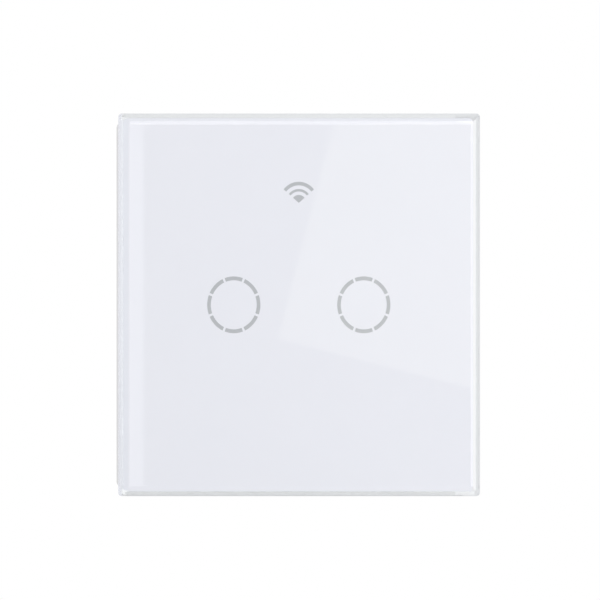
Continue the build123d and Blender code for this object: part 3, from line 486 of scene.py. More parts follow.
def screw_tree(name, finish):
    """A pan-head screw at each place, with a cross or a slot in its head and a thread on its shank."""
    tree, size = sized_tree(
        name, head_radius=2.1 * mm, head_height=1.3 * mm, head_rounding=0.5 * mm, shank_radius=1.25 * mm,
        shank_length=2.2 * mm, thread_pitch=0.45 * mm, thread_height=0.14 * mm, thread_rings=40,
        recess_length=2.4 * mm, cross_length=2.4 * mm, recess_width=0.6 * mm, recess_depth=0.7 * mm,
        facing=math.radians(90), turn=6.28, seed=1,
    )
    whole = add_node(tree, "GeometryNodeMeshBoolean", {"Mesh 2": pan_head(tree, size)}, operation="UNION")
    tree.links.new(threaded_shank(tree, size), whole.inputs["Mesh 2"])
    depth = calc(tree, "MULTIPLY", size["Recess Depth"], 2.0)
    cutters = []
    for across, along in (("Recess Length", "Recess Width"), ("Recess Width", "Cross Length")):
        sides = vector(tree, X=size[across], Y=size[along], Z=depth)
        cutter = result(tree, "GeometryNodeMeshCube", {"Size": sides})
        cutters.append(moved(tree, cutter, Z=size["Head Height"]))
    inputs = {"Mesh 1": whole.outputs[0], "Mesh 2": cutters[0]}
    driven = add_node(tree, "GeometryNodeMeshBoolean", inputs, operation="DIFFERENCE")
    tree.links.new(cutters[1], driven.inputs["Mesh 2"])
    placed = stood(tree, size, driven.outputs[0], vector(tree, X=size["Facing"]))
    chance = add_node(tree, "FunctionNodeRandomValue", {"Seed": size["Seed"]}, data_type="FLOAT").outputs[1]
    spin = vector(tree, Z=calc(tree, "MULTIPLY", chance, size["Turn"]))
    inputs = {"Instances": placed, "Rotation": spin, "Local Space": True}
    return end_tree(tree, result(tree, "GeometryNodeRotateInstances", inputs), finish)


def middle_at(depth, low, high):
    """The middle of a box as seen from the room, at that depth."""
    return Vector(((low.x + high.x) / 2, depth, (low.z + high.z) / 2))


def seats(node, depth):
    """Where each screw of a CAD node seats: the middle of its head, that deep under its top."""
    return [[middle_at(low.y + depth, low, high)] for low, high in solid_boxes(node)]


sheet_metal("screw_steel", (0.56, 0.56, 0.52), (0.72, 0.71, 0.66), 0.2, 0.38, stretch=(900.0, 900.0, 900.0))
screws = screw_tree("pan_head_screw", "screw_steel")
frame_seats = seats("frame_screws", frame_screw_head)
grown("frame_screws_made", screws, frame_seats, "screw_steel", "frame_screws", seed=3)

# Power board
# A 1.6 mm glass-fibre board under green solder mask, on the housing's posts. It carries what is behind it,
# and every leg that goes through it ends in a cone of solder on its front.
board_edge = 0.05 * mm
board_relief = 0.004 * mm
line_height = 0.04 * mm
power_line_width = 2.0 * mm
silk_line_width = 0.18 * mm
silk_gap = 0.3 * mm
relay_cases = ("left_relay_case", "right_relay_case")
outlined_nodes = (*relay_cases, "transformer_winding", "varistor", "fuse", "bridge_rectifier")
arc_step = 6
can_arc = (20, 340)
power_routes = (
    ((16.9, 3.4), (20.6, -0.3), (20.6, -11.0), (19.6, -12.0), (11.25, -12.0)),
    ((12.2, 9.6), (7.6, 9.6), (3.4, 13.8), (0.4, 13.8)),
    ((-4.4, 8.6), (-4.4, 10.2), (-8.0, 13.8)),
)
solder_height = 0.75 * mm
leg_margin = 0.1 * mm
leg_reach = 1.5 * mm
lead_spread_shares = {"capacitors": 0.45, "choke": 0.6, "varistor": 0.7, "fuse": 0.78}
transformer_leads_in_row = 4
transformer_lead_pitch = 2.5 * mm
transformer_lead_inset = 1.6 * mm


def weave_group():
    """Woven glass under solder mask: the two sets of threads, and small clouds in the mask."""
    group, given = effect_group("glass_weave", Place=None, Threads=420.0)
    place = given["Place"]
    inputs = {"Vector": place, "Scale": given["Threads"], "Distortion": 0.4}
    sets = [add_node(group, "ShaderNodeTexWave", inputs, bands_direction=way).outputs for way in ("X", "Z")]
    woven = calc(group, "MULTIPLY", calc(group, "ADD", *(threads["Fac"] for threads in sets)), 0.5)
    clouds = noise(group, place, 300.0, 4.0)
    shade = calc(group, "ADD", calc(group, "MULTIPLY", woven, 0.35), calc(group, "MULTIPLY", clouds, 0.65))
    return end_group(group, Height=woven, Shade=shade, Gloss=clouds)


glass_weave = weave_group()


def masked_board(name, dark, light):
    """A board's solder mask over woven glass."""
    tree, place = new_finish(name)
    weave = pattern(tree, glass_weave, place)
    end_finish(
        tree, base_color=between(tree, weave["Shade"], dark, light), coat_weight=0.25, coat_roughness=0.1,
        roughness=spread(tree, weave["Gloss"], 0.22, 0.36),
        normal=raised(tree, weave["Height"], board_relief),
    )


masked_board("green_board", (0.012, 0.12, 0.045), (0.022, 0.19, 0.075))
eased_piece("power_board", "green_board", board_edge)


def swept(tree, line, section):
    """The section swept along the line, with both ends closed."""
    inputs = {"Curve": line, "Profile Curve": section, "Fill Caps": True}
    return result(tree, "GeometryNodeCurveToMesh", inputs)


def line_tree(name, finish):
    """A flat printed line along every run of places, lying in the board's face."""
    tree, size = sized_tree(name, line_width=0.3 * mm, line_height=line_height)
    run = result(tree, "GeometryNodeMeshToCurve", {"Mesh": size["Places"]})
    run = result(tree, "GeometryNodeSetCurveNormal", {"Curve": run, "Normal": (0.0, -1.0, 0.0)}, mode="FREE")
    sides = {"Width": size["Line Height"], "Height": size["Line Width"]}
    flat = result(tree, "GeometryNodeCurvePrimitiveQuadrilateral", sides)
    return end_tree(tree, swept(tree, run, flat), finish)


def on_face(depth, x, z):
    """A place on the face of a board that lies that deep."""
    return Vector((x, depth, z))


def round_place(middle, radius, angle, depth):
    """A place at that angle on a circle round the middle, at that depth."""
    return on_face(depth, middle.x + radius * math.cos(angle), middle.z + radius * math.sin(angle))


def arc_line(middle, radius, start, end):
    """A printed arc round the middle, from one angle to another, in degrees from the right."""
    steps = round(abs(end - start) / arc_step)
    angles = [math.radians(start + (end - start) * step / steps) for step in range(steps + 1)]
    return [round_place(middle, radius, angle, middle.y) for angle in angles]


def run_line(depth, route):
    """A printed run of straight lines on a board's face, through the places of its route."""
    return [on_face(depth, x * mm, z * mm) for x, z in route]


def box_line(depth, low, high, margin):
    """A printed frame round a box on a board's face, open at one corner."""
    left, right = low.x - margin, high.x + margin
    bottom, top = low.z - margin, high.z + margin
    corners = [(left + 2 * margin, top), (left, top), (left, bottom), (right, bottom), (right, top)]
    corners.append((left + 4 * margin, top))
    return [on_face(depth, x, z) for x, z in corners]


masked_board("masked_copper", (0.03, 0.24, 0.09), (0.05, 0.30, 0.12))
moulded("white_silk", (0.66, 0.67, 0.66), (0.74, 0.75, 0.74), 0.5, 0.65, fineness=4000.0)
copper_lines = line_tree("printed_copper", "masked_copper")
silk_lines = line_tree("printed_silk", "white_silk")

power_low, power_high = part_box("power_board")
block_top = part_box("terminal_block")[1].z
relay_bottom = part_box(relay_cases[0])[0].z
bar_ends = (block_top - power_line_width, relay_bottom + power_line_width)
power_runs = [
    [on_face(power_high.y, (low.x + high.x) / 2, end) for end in bar_ends]
    for low, high in solid_boxes("terminal_tabs")
]
power_runs += [run_line(power_high.y, route) for route in power_routes]
grown("power_copper", copper_lines, power_runs, "green_board", line_width=power_line_width)

outline_runs = [box_line(power_high.y, *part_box(node), silk_gap) for node in outlined_nodes]
outline_runs += [
    arc_line(middle_at(power_high.y, low, high), (high.x - low.x) / 2 + silk_gap, *can_arc)
    for low, high in solid_boxes("capacitors") + solid_boxes("choke")
]
grown("power_silk", silk_lines, outline_runs, "green_board", line_width=silk_line_width)


def solder_tree(name, finish):
    """A hollow-sided cone of solder at each place, standing towards the room."""
    tree, size = sized_tree(name, foot_radius=0.95 * mm, tip_radius=0.4 * mm, height=solder_height)
    rod = result(
        tree, "GeometryNodeMeshCylinder",
        {"Vertices": 18, "Side Segments": 6, "Radius": size["Foot Radius"], "Depth": size["Height"]},
    )
    at = point_parts(tree)
    risen = calc(tree, "ADD", calc(tree, "DIVIDE", at["Z"], size["Height"]), 0.5)
    left = calc(tree, "POWER", calc(tree, "SUBTRACT", 1.0, risen), 2.4)
    tip_share = calc(tree, "DIVIDE", size["Tip Radius"], size["Foot Radius"])
    share = calc(tree, "ADD", tip_share, calc(tree, "MULTIPLY", calc(tree, "SUBTRACT", 1.0, tip_share), left))
    return end_tree(tree, stood(tree, size, drawn_in(tree, rod, at, share)), finish)


solder_middle = power_low.y - solder_height / 2


def legs_through(node):
    """Where the legs of a CAD node come out of the power board's front."""
    front = power_low.y - leg_margin
    places = []
    shape = joined_shape(cad_nodes[node].data)
    for low, high, points in solids_of(shape):
        tips = [point.co for point in points if point.co.y < front]
        if tips and low.y > front - leg_reach:
            x = (min(tip.x for tip in tips) + max(tip.x for tip in tips)) / 2
            z = (min(tip.z for tip in tips) + max(tip.z for tip in tips)) / 2
            places.append([on_face(solder_middle, x, z)])
    shape.free()
    return places


def leads_under(node, spread_share):
    """Where the two leads of each round or long part come out of the power board's front."""
    places = []
    for low, high in solid_boxes(node) if node == "capacitors" else [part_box(node)]:
        middle, reach = (low + high) / 2, (high.x - low.x) / 2 * spread_share
        places += [[on_face(solder_middle, middle.x + side * reach, middle.z)] for side in (-1, 1)]
    return places


def transformer_leads():
    """Where the two rows of transformer leads come out of the power board's front."""
    low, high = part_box("transformer_winding")
    start = (low.x + high.x) / 2 - transformer_lead_pitch * (transformer_leads_in_row - 1) / 2
    return [
        [on_face(solder_middle, start + number * transformer_lead_pitch, row)]
        for row in (low.z + transformer_lead_inset, high.z - transformer_lead_inset)
        for number in range(transformer_leads_in_row)
    ]


sheet_metal("solder", (0.62, 0.63, 0.64), (0.78, 0.78, 0.78), 0.16, 0.34, stretch=(700.0, 700.0, 700.0))
soldered = transformer_leads()
for node in ("left_relay_contacts", "right_relay_contacts", "terminal_tabs"):
    soldered += legs_through(node)
for node, spread_share in lead_spread_shares.items():
    soldered += leads_under(node, spread_share)
grown("board_solder", solder_tree("solder_cone", "solder"), soldered, "tinned_brass")

# Board screws
# Four zinc-plated steel screws like those of the frame, with longer shanks. They hold the power board on
# the housing's posts.
board_shank = 8.6 * mm
board_thread_rings = 110

grown(
    "board_screws_made", screws, seats("board_screws", frame_screw_head), "screw_steel", "board_screws",
    shank_length=board_shank, thread_rings=board_thread_rings, seed=8,
)

# Terminal block
# Four screw clamps side by side in one green polyamide moulding, soldered to the power board. Wires go in
# from below, and the screws are reached from the back.
poles = (1, 2, 3, 4)
block_edge = 0.18 * mm

moulded(
    "terminal_plastic", (0.035, 0.17, 0.06), (0.05, 0.21, 0.08), 0.34, 0.5, fineness=1900.0, depth=0.01 * mm
)
eased_piece("terminal_block", "terminal_plastic", block_edge)

# Current bars
# One strip of tinned brass in each pole, cut and bent on a press. The wire is pressed against it, and its
# tail is soldered in the power board.
bar_edge = 0.08 * mm

sheet_metal(
    "tinned_brass", (0.62, 0.60, 0.52), (0.76, 0.74, 0.66), 0.26, 0.44, stretch=(2200.0, 90.0, 2200.0)
)
eased_piece("terminal_tabs", "tinned_brass", bar_edge)

# Clamp cages and clamp screws
# Each cage is a folded box of tinned brass that rises as its slotted screw turns in its threaded wall. The
# screw's tip bears on the current bar, and its head faces the back of the block.
cage_edge = 0.12 * mm
clamp_head_radius = 2.4 * mm
clamp_head_height = 1.5 * mm
clamp_head_rounding = 0.3 * mm
clamp_shank_radius = 1.5 * mm
clamp_thread_pitch = 0.5 * mm
clamp_thread_height = 0.16 * mm
clamp_thread_rings = 90
clamp_slot_width = 0.8 * mm
clamp_slot_depth = 0.9 * mm
clamp_slot_overrun = 0.4 * mm

for pole in poles:
    eased_piece(f"clamp_cage_{pole}", "tinned_brass", cage_edge, body=f"cage_{pole}")
    low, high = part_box(f"clamp_screw_{pole}")
    seat = middle_at(high.y - clamp_head_height, low, high)
    grown(
        f"clamp_screw_{pole}_made", screws, [[seat]], "screw_steel", f"clamp_screw_{pole}",
        body=f"screw_{pole}", facing=math.radians(-90), seed=pole, turn=0.5,
        head_radius=clamp_head_radius, head_height=clamp_head_height, head_rounding=clamp_head_rounding,
        shank_radius=clamp_shank_radius, shank_length=seat.y - low.y + shank_lap,
        thread_pitch=clamp_thread_pitch, thread_height=clamp_thread_height, thread_rings=clamp_thread_rings,
        recess_length=2 * clamp_head_radius + clamp_slot_overrun, cross_length=clamp_slot_width,
        recess_width=clamp_slot_width, recess_depth=clamp_slot_depth,
    )

# Relays
# Two alike. A glossy blue case covers a moulded base and bobbin, a coil of enamelled copper wire, a nickel-
# plated iron yoke and core, brass contacts, and an armature with its leaf spring, which tip together.
case_edge = 0.25 * mm
thin_edge = 0.05 * mm
coil_wire_radius = 0.07 * mm
coil_turns = 46
coil_wire_sides = 6
strip_stretch = (90.0, 2300.0, 2300.0)
enamel_relief = 0.003 * mm
moulded_parts = (("base", "black_plastic"), ("bobbin", "former_plastic"))
fixed_parts = (("iron", "soft_iron"), ("contacts", "contact_metal"))
moving_parts = (("armature", "soft_iron"), ("spring", "contact_metal"))

moulded(
    "relay_shell", (0.012, 0.045, 0.16), (0.018, 0.06, 0.20), 0.12, 0.22, fineness=600.0, depth=0.003 * mm,
    coat_weight=0.3, coat_roughness=0.08,
)
moulded("black_plastic", (0.018, 0.018, 0.019), (0.032, 0.032, 0.033), 0.38, 0.55)
moulded("former_plastic", (0.50, 0.46, 0.36), (0.58, 0.54, 0.43), 0.4, 0.56)
sheet_metal("soft_iron", (0.44, 0.435, 0.42), (0.60, 0.595, 0.58), 0.26, 0.42, stretch=strip_stretch)
sheet_metal("contact_metal", (0.62, 0.46, 0.24), (0.78, 0.62, 0.36), 0.22, 0.38, stretch=strip_stretch)


def enamelled_wire():
    """Copper wire under a clear amber enamel."""
    tree, place = new_finish("enamelled_wire")
    thick = noise(tree, place, 900.0, 3.0)
    end_finish(
        tree, base_color=between(tree, thick, (0.42, 0.13, 0.045), (0.62, 0.24, 0.09)), metallic=1.0,
        roughness=spread(tree, thick, 0.2, 0.34), coat_weight=0.5, coat_roughness=0.12,
        normal=raised(tree, noise(tree, place, 3000.0), enamel_relief),
    )


def coil_tree(name, finish):
    """A layer of wire wound round the axis that goes into the wall, from each place, over a core of turns."""
    tree, size = sized_tree(name, turns=40.0, radius=3.6 * mm, length=6.5 * mm, wire_radius=0.07 * mm)
    radius, length = size["Radius"], size["Length"]
    line = result(
        tree, "GeometryNodeCurveSpiral",
        {
            "Resolution": 22, "Rotations": size["Turns"], "Start Radius": radius, "End Radius": radius,
            "Height": length,
        },
    )
    wire = swept(tree, line, round_line(tree, coil_wire_sides, size["Wire Radius"]))
    under = result(tree, "GeometryNodeMeshCylinder", {"Vertices": 44, "Radius": radius, "Depth": length})
    under = moved(tree, under, Z=calc(tree, "DIVIDE", length, 2.0))
    both = add_node(tree, "GeometryNodeJoinGeometry", {"Geometry": wire})
    tree.links.new(under, both.inputs["Geometry"])
    return end_tree(tree, stood(tree, size, both.outputs[0], (math.radians(-90), 0.0, 0.0)), finish)


enamelled_wire()
coils = coil_tree("wound_coil", "enamelled_wire")


def winding(name, node, low, high, turns, wire_radius):
    """A coil that fills a box, wound round its middle."""
    grown(
        name, coils, [[middle_at(low.y + wire_radius, low, high)]], "copper_wire", node, turns=float(turns),
        radius=(high.x - low.x) / 2 - wire_radius, length=high.y - low.y - 2 * wire_radius,
        wire_radius=wire_radius,
    )


for side in ("left", "right"):
    relay = f"{side}_relay"
    eased_piece(f"{relay}_case", "relay_shell", case_edge)
    for part, slot in moulded_parts:
        eased_piece(f"{relay}_{part}", slot, thin_edge)
    winding(f"{relay}_coil_made", f"{relay}_coil", *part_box(f"{relay}_coil"), coil_turns, coil_wire_radius)
    for part, slot in fixed_parts:
        eased_piece(f"{relay}_{part}", slot, thin_edge)
    for part, slot in moving_parts:
        eased_piece(f"{relay}_{part}", slot, thin_edge, body=f"{side}_armature")

# Transformer
# Two E-shaped halves of pressed ferrite, glued round a former of natural plastic. Its winding is wrapped in
# yellow polyester tape.
ferrite_edge = 0.15 * mm
tape_relief = 0.04 * mm


def tape_finish():
    """Yellow polyester tape in overlapping turns, glossy, its colour faintly clouded."""
    tree, place = new_finish("winding_tape")
    laps = add_node(
        tree, "ShaderNodeTexWave", {"Vector": place, "Scale": 85.0, "Distortion": 0.25}, bands_direction="Y",
        wave_profile="SAW",
    ).outputs["Fac"]
    cloudy = noise(tree, place, 420.0, 4.0)
    end_finish(
        tree, base_color=between(tree, cloudy, (0.60, 0.36, 0.03), (0.74, 0.50, 0.07)),
        roughness=spread(tree, cloudy, 0.18, 0.32), normal=raised(tree, laps, tape_relief),
    )


moulded("ferrite", (0.020, 0.020, 0.022), (0.040, 0.040, 0.043), 0.5, 0.72, fineness=3500.0, depth=0.01 * mm)
tape_finish()
eased_piece("transformer_core", "ferrite", ferrite_edge)

winding_levels = sorted({round(vert.co.y, 6) for vert in cad_nodes["transformer_winding"].data.vertices})
winding_front, winding_back = winding_levels[-3:-1]


def is_tape(face):
    """Whether a face is one of the winding's: its sides, or its two ends seen from outside the flanges."""
    depths = [vert.co.y for vert in face.verts]
    shallow, deep = min(depths), max(depths)
    if shallow < winding_front - join_reach or deep > winding_back + join_reach:
        return False
    if deep < winding_front + join_reach:
        return face.normal.y < 0
    return face.normal.y > 0 if shallow > winding_back - join_reach else True


eased_piece("transformer_winding", "winding_tape", thin_edge, "transformer_tape", faces_kept=is_tape)
eased_piece(
    "transformer_winding", "former_plastic", thin_edge, "transformer_former",
    faces_kept=lambda face: not is_tape(face),
)

# Capacitors
# Two aluminium cans in a shrunk dark sleeve, with a rolled groove near the foot. The sleeve curls over the
# top rim, and the bare top has a scored cross that opens under pressure.
foot_share = 0.82
foot_inset = 0.1 * mm
foot_rise = 0.2 * mm
groove_rise = 1.6 * mm
groove_depth = 0.3 * mm
groove_half_width = 0.35 * mm
can_rounding = 0.5 * mm
lip_share = 0.85
lip_inset = 0.05 * mm
lip_drop = 0.15 * mm
lid_foot_drop = 0.4 * mm
lid_edge = 0.1 * mm
lid_drop = 0.03 * mm
score_width = 0.22 * mm
score_depth = 0.12 * mm
score_length_share = 1.2
stripe_angle = math.radians(-60)
stripe_half_angle = math.radians(20)


def lofted(name, outlines, *used, sharp=sharp_angle):
    """A closed piece through outlines of as many places each and over its two ends, in the finishes used."""
    count = len(outlines[0])
    last = (len(outlines) - 1) * count
    faces = []
    for near in range(0, last, count):
        for place in range(count):
            beside = (place + 1) % count
            faces.append((near + place, near + beside, near + count + beside, near + count + place))
    faces += [tuple(range(count)), tuple(range(last, last + count))]
    mesh = bpy.data.meshes.new(name)
    mesh.from_pydata([place for outline in outlines for place in outline], [], faces)
    piece = new_object(name, mesh)
    closed_shading(piece, sharp)
    for finish in used:
        mesh.materials.append(finishes[finish])
    return piece


def turned(name, rings, middle, *used, steps=48):
    """A closed piece turned round the axis that goes into the wall: rings are pairs of radius and depth."""
    angles = [2 * math.pi * step / steps for step in range(steps)]
    outlines = [[round_place(middle, radius, angle, depth) for angle in angles] for radius, depth in rings]
    return lofted(name, outlines, *used)


def sleeve_rings(radius, groove, foot, top):
    """The sleeve's foot, its groove, its rounded shoulder and the lip that curls over the lid."""
    rings = [(radius * foot_share, foot), (radius - foot_inset, foot), (radius, foot + foot_rise)]
    for angle in range(-90, 91, 30):
        across, along = math.cos(math.radians(angle)), math.sin(math.radians(angle))
        rings.append((radius - groove_depth * across, groove + groove_half_width * along))
    for angle in range(0, 91, 18):
        across, along = math.cos(math.radians(angle)), math.sin(math.radians(angle))
        rings.append((radius - can_rounding * (1 - across), top - can_rounding * (1 - along)))
    return rings + [(radius * lip_share, top), (radius * lip_share - lip_inset, top - lip_drop)]


def cut_score(lid, middle, radius, angle):
    """Cuts a straight score into the lid."""
    shape = bmesh.new()
    bmesh.ops.create_cube(shape, size=1.0)
    turn = Matrix.Rotation(math.radians(angle), 4, "Y")
    size = Matrix.Diagonal((radius * score_length_share, 2 * score_depth, score_width, 1.0))
    bmesh.ops.transform(shape, matrix=Matrix.Translation(middle) @ turn @ size, verts=shape.verts)
    score = new_object("score", bpy.data.meshes.new("score"))
    shape.to_mesh(score.data)
    shape.free()
    cut = lid.modifiers.new("score", "BOOLEAN")
    cut.operation = "DIFFERENCE"
    cut.object = score
    settle(lid, cut)
    bpy.data.objects.remove(score)


moulded(
    "can_sleeve", (0.012, 0.018, 0.05), (0.02, 0.028, 0.07), 0.16, 0.26, fineness=500.0, depth=0.002 * mm,
    coat_weight=0.3, coat_roughness=0.1,
)
moulded("stripe_ink", (0.42, 0.44, 0.47), (0.50, 0.52, 0.55), 0.2, 0.32, fineness=500.0)
sheet_metal("bare_can", (0.66, 0.67, 0.68), (0.80, 0.80, 0.80), 0.2, 0.34, stretch=(900.0, 900.0, 900.0))

for number, (low, high) in enumerate(solid_boxes("capacitors"), start=1):
    radius, top = (high.x - low.x) / 2, high.y
    groove = low.y + groove_rise
    middle = middle_at(top - lid_drop, low, high)
    rings = sleeve_rings(radius, groove, low.y, top)
    sleeve = turned(f"can_sleeve_{number}", rings, middle, "can_sleeve", "stripe_ink")
    for face in sleeve.data.polygons:
        beside = math.atan2(face.center.z - middle.z, face.center.x - middle.x)
        on_wall = groove + can_rounding < face.center.y < top - can_rounding
        face.material_index = 1 if on_wall and abs(beside - stripe_angle) < stripe_half_angle else 0
    fit(sleeve, "can_sleeve", "capacitors")
    lid_radius = radius * lip_share
    lid_rings = [(lid_radius, top - lid_foot_drop), (lid_radius, top - lid_edge)]
    lid_rings.append((lid_radius - lid_edge, top - lid_drop))
    lid = turned(f"can_lid_{number}", lid_rings, middle, "bare_can")
    for angle in (45, 135):
        cut_score(lid, middle, radius, angle)
    lid.data.shade_smooth()
    lid.data.set_sharp_from_angle(angle=sharp_angle)
    fit(lid, "tin_can", "capacitors")

# Varistor, fuse, bridge rectifier and choke
# Bought parts on the power board: a disc dipped in blue epoxy, a ceramic tube with plated caps, a moulded
# package with four tinned legs, and a ferrite bobbin wound with copper wire.
package_edge = 0.1 * mm
leg_edge = 0.03 * mm
leg_height = 0.6 * mm
choke_edge = 0.15 * mm
choke_flange = 1.0 * mm
choke_core_share = 0.47
choke_turns = 13.6
choke_wire_radius = 0.22 * mm
choke_winding_inset = 0.4 * mm

moulded("blue_coating", (0.008, 0.07, 0.22), (0.015, 0.10, 0.30), 0.16, 0.30, fineness=350.0, depth=0.03 * mm)
moulded("ceramic", (0.66, 0.63, 0.56), (0.74, 0.71, 0.64), 0.3, 0.45, fineness=1500.0, depth=0.01 * mm)
sheet_metal("tin_can", (0.62, 0.63, 0.62), (0.76, 0.76, 0.75), 0.22, 0.4)
moulded("black_epoxy", (0.014, 0.014, 0.015), (0.028, 0.028, 0.03), 0.42, 0.6, fineness=3200.0)

eased_piece("varistor", "blue_coating", thin_edge)


def with_metal(node, is_metal, shell_name, shell_slot, shell_width, metal_name, metal_width):
    """A CAD node in two pieces: its moulded or fired body, and its parts of tinned brass."""
    eased_piece(node, shell_slot, shell_width, shell_name, kept=lambda low, high: not is_metal(low, high))
    eased_piece(node, "tinned_brass", metal_width, metal_name, kept=is_metal)


fuse_middle = sum(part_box("fuse"), Vector()) / 2


def is_cap(low, high):
    """Whether a solid is one of the fuse's caps, which lie to one side of its middle."""
    return not low.x < fuse_middle.x < high.x


def is_leg(low, high):
    """Whether a solid is a package's leg, which is thinner than the package."""
    return high.z - low.z < leg_height


def packaged_chip(node, width):
    """A moulded package and its bent legs."""
    with_metal(node, is_leg, f"{node}_package", "black_epoxy", width, f"{node}_legs", leg_edge)


with_metal("fuse", is_cap, "fuse_tube", "ceramic", thin_edge, "fuse_caps", package_edge)
packaged_chip("bridge_rectifier", package_edge)


def flange_rings(radius, near, far):
    """The eased rim of a bobbin's flange, from one depth to another."""
    inside = radius - choke_edge
    return [(inside, near), (radius, near + choke_edge), (radius, far - choke_edge), (inside, far)]


choke_low, choke_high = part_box("choke")
choke_radius = (choke_high.x - choke_low.x) / 2
choke_waist = (choke_low.y + choke_flange, choke_high.y - choke_flange)
choke_rings = flange_rings(choke_radius, choke_low.y, choke_waist[0])
choke_rings += [(choke_radius * choke_core_share, depth) for depth in choke_waist]
choke_rings += flange_rings(choke_radius, choke_waist[1], choke_high.y)
choke_bobbin = turned("choke_bobbin", choke_rings, middle_at(0.0, choke_low, choke_high), "ferrite")
fit(choke_bobbin, "ferrite", "choke")
choke_reach = Vector((choke_winding_inset, choke_flange, choke_winding_inset))
wound_box = (choke_low + choke_reach, choke_high - choke_reach)
winding("choke_coil", "choke", *wound_box, choke_turns, choke_wire_radius)

# Board header and socket
# A row of eight square pins of tinned brass in a black moulded strip on the power board. It plugs into a
# black socket on the back of the touch board, and so joins the two boards.
pin_edge = 0.08 * mm
pin_spacing = 1.0 * mm


def is_pin(low, high):
    """Whether a solid is a pin, which is narrower than the strip."""
    return high.x - low.x < pin_spacing


eased_piece("header_socket", "black_plastic", pin_edge)
with_metal("board_header", is_pin, "header_strip", "black_plastic", pin_edge, "header_pins", pin_edge)

# Touch board
# A 1.0 mm board under green solder mask that lies on the flange, held by four staked pins. Each spring's
# pad has a ring of copper, and printed lines join the pads, the lights and the chip.
copper_ring_radius = 4.6 * mm
copper_ring_arc = (6, 354)
silk_ring_radius = 3.9 * mm
silk_ring_arc = (10, 350)
silk_light_radius = 1.35 * mm
silk_light_arcs = ((25, 155), (205, 335))
ring_line_width = 0.5 * mm
signal_line_width = 0.3 * mm
via_radius = 0.3 * mm
via_height = 0.04 * mm
joint_radius = 0.85 * mm
joint_height = 0.7 * mm
signal_routes = (
    ((-10.97, 0.5), (-8.0, 3.4), (-8.0, 6.5), (-6.4, 8.1), (4.2, 8.1), (8.4, 3.9), (9.2, 3.1), (10.97, 0.5)),
    ((-15.6, 5.2), (-15.6, 8.4), (-12.6, 11.4), (-2.6, 11.4), (-1.0, 13.0), (-1.0, 22.6)),
    ((15.6, 5.2), (15.6, 8.8), (12.4, 12.0), (2.6, 12.0), (1.2, 13.4), (1.2, 22.6)),
    ((-20.6, -5.6), (-20.6, -9.8), (-18.2, -12.2), (-12.0, -12.2), (-10.6, -10.8)),
    ((20.6, -5.6), (20.6, -9.8), (18.2, -12.2), (12.0, -12.2), (10.6, -10.8)),
    ((-6.35, -13.6), (-6.35, -17.0), (-3.2, -20.2), (6.4, -20.2), (8.6, -22.4)),
    ((-3.81, -13.6), (-3.81, -16.4), (-1.8, -18.4), (9.4, -18.4), (13.4, -22.4)),
    ((3.81, -13.6), (3.81, -15.2), (5.2, -16.6), (16.6, -16.6), (20.2, -20.2), (20.2, -22.6)),
    ((-8.89, -13.6), (-8.89, -18.4), (-12.9, -22.4), (-17.4, -22.4)),
)

eased_piece("touch_board", "green_board", board_edge)
board_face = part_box("touch_board")[0].y
spring_nodes = ("left_touch_spring", "right_touch_spring")
ring_middles = [on_face(board_face, middle_at(0.0, *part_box(node)).x, 0.0) for node in spring_nodes]

pad_rings = [arc_line(middle, copper_ring_radius, *copper_ring_arc) for middle in ring_middles]
grown("pad_ring_copper", copper_lines, pad_rings, "green_board", line_width=ring_line_width)
signal_runs = [run_line(board_face, route) for route in signal_routes]
grown("board_copper", copper_lines, signal_runs, "green_board", line_width=signal_line_width)

silk_runs = [box_line(board_face, *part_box("header_socket"), 2 * silk_gap)]
silk_runs += [arc_line(middle, silk_ring_radius, *silk_ring_arc) for middle in ring_middles]
silk_runs += [
    arc_line(middle_at(board_face, low, high), silk_light_radius, *arc)
    for low, high in solid_boxes("ring_lights") + solid_boxes("signal_light") for arc in silk_light_arcs
]
grown("board_silk", silk_lines, silk_runs, "green_board", line_width=silk_line_width)

sheet_metal("bare_pad", (0.70, 0.56, 0.30), (0.84, 0.70, 0.42), 0.2, 0.34, stretch=(800.0, 800.0, 800.0))
pads = stud_tree("bare_stud", "bare_pad")
via_places = [[line[end]] for line in signal_runs for end in (0, -1)]
grown("board_vias", pads, via_places, "tinned_brass", radius=via_radius, height=2 * via_height)

joint_places = [[middle_at(board_face, *box)] for box in solid_boxes("board_header") if is_pin(*box)]
grown(
    "header_joints", stud_tree("solder_stud", "solder"), joint_places, "tinned_brass", radius=joint_radius,
    height=joint_height, top_share=0.45,
)

# Touch springs
# One coil of gold-plated steel wire behind each ring, its straight end soldered in the touch board. Its
# last turn presses on the back of the print and senses a finger through the glass.
spring_wire_radius = 0.2 * mm
spring_wire_sides = 12
spring_radius = 3.0 * mm
spring_turns = 2.25
spring_rise = 0.5 * mm
points_per_turn = 40
lead_points = 6
lead_angle = -math.pi / 4

sheet_metal("spring_wire", (0.72, 0.55, 0.26), (0.86, 0.70, 0.38), 0.18, 0.3, stretch=(900.0, 900.0, 900.0))


def wire_tree(name, finish):
    """A round wire along every run of places."""
    tree, size = sized_tree(name, wire_radius=spring_wire_radius)
    run = result(tree, "GeometryNodeMeshToCurve", {"Mesh": size["Places"]})
    section = round_line(tree, spring_wire_sides, size["Wire Radius"])
    return end_tree(tree, swept(tree, run, section), finish)


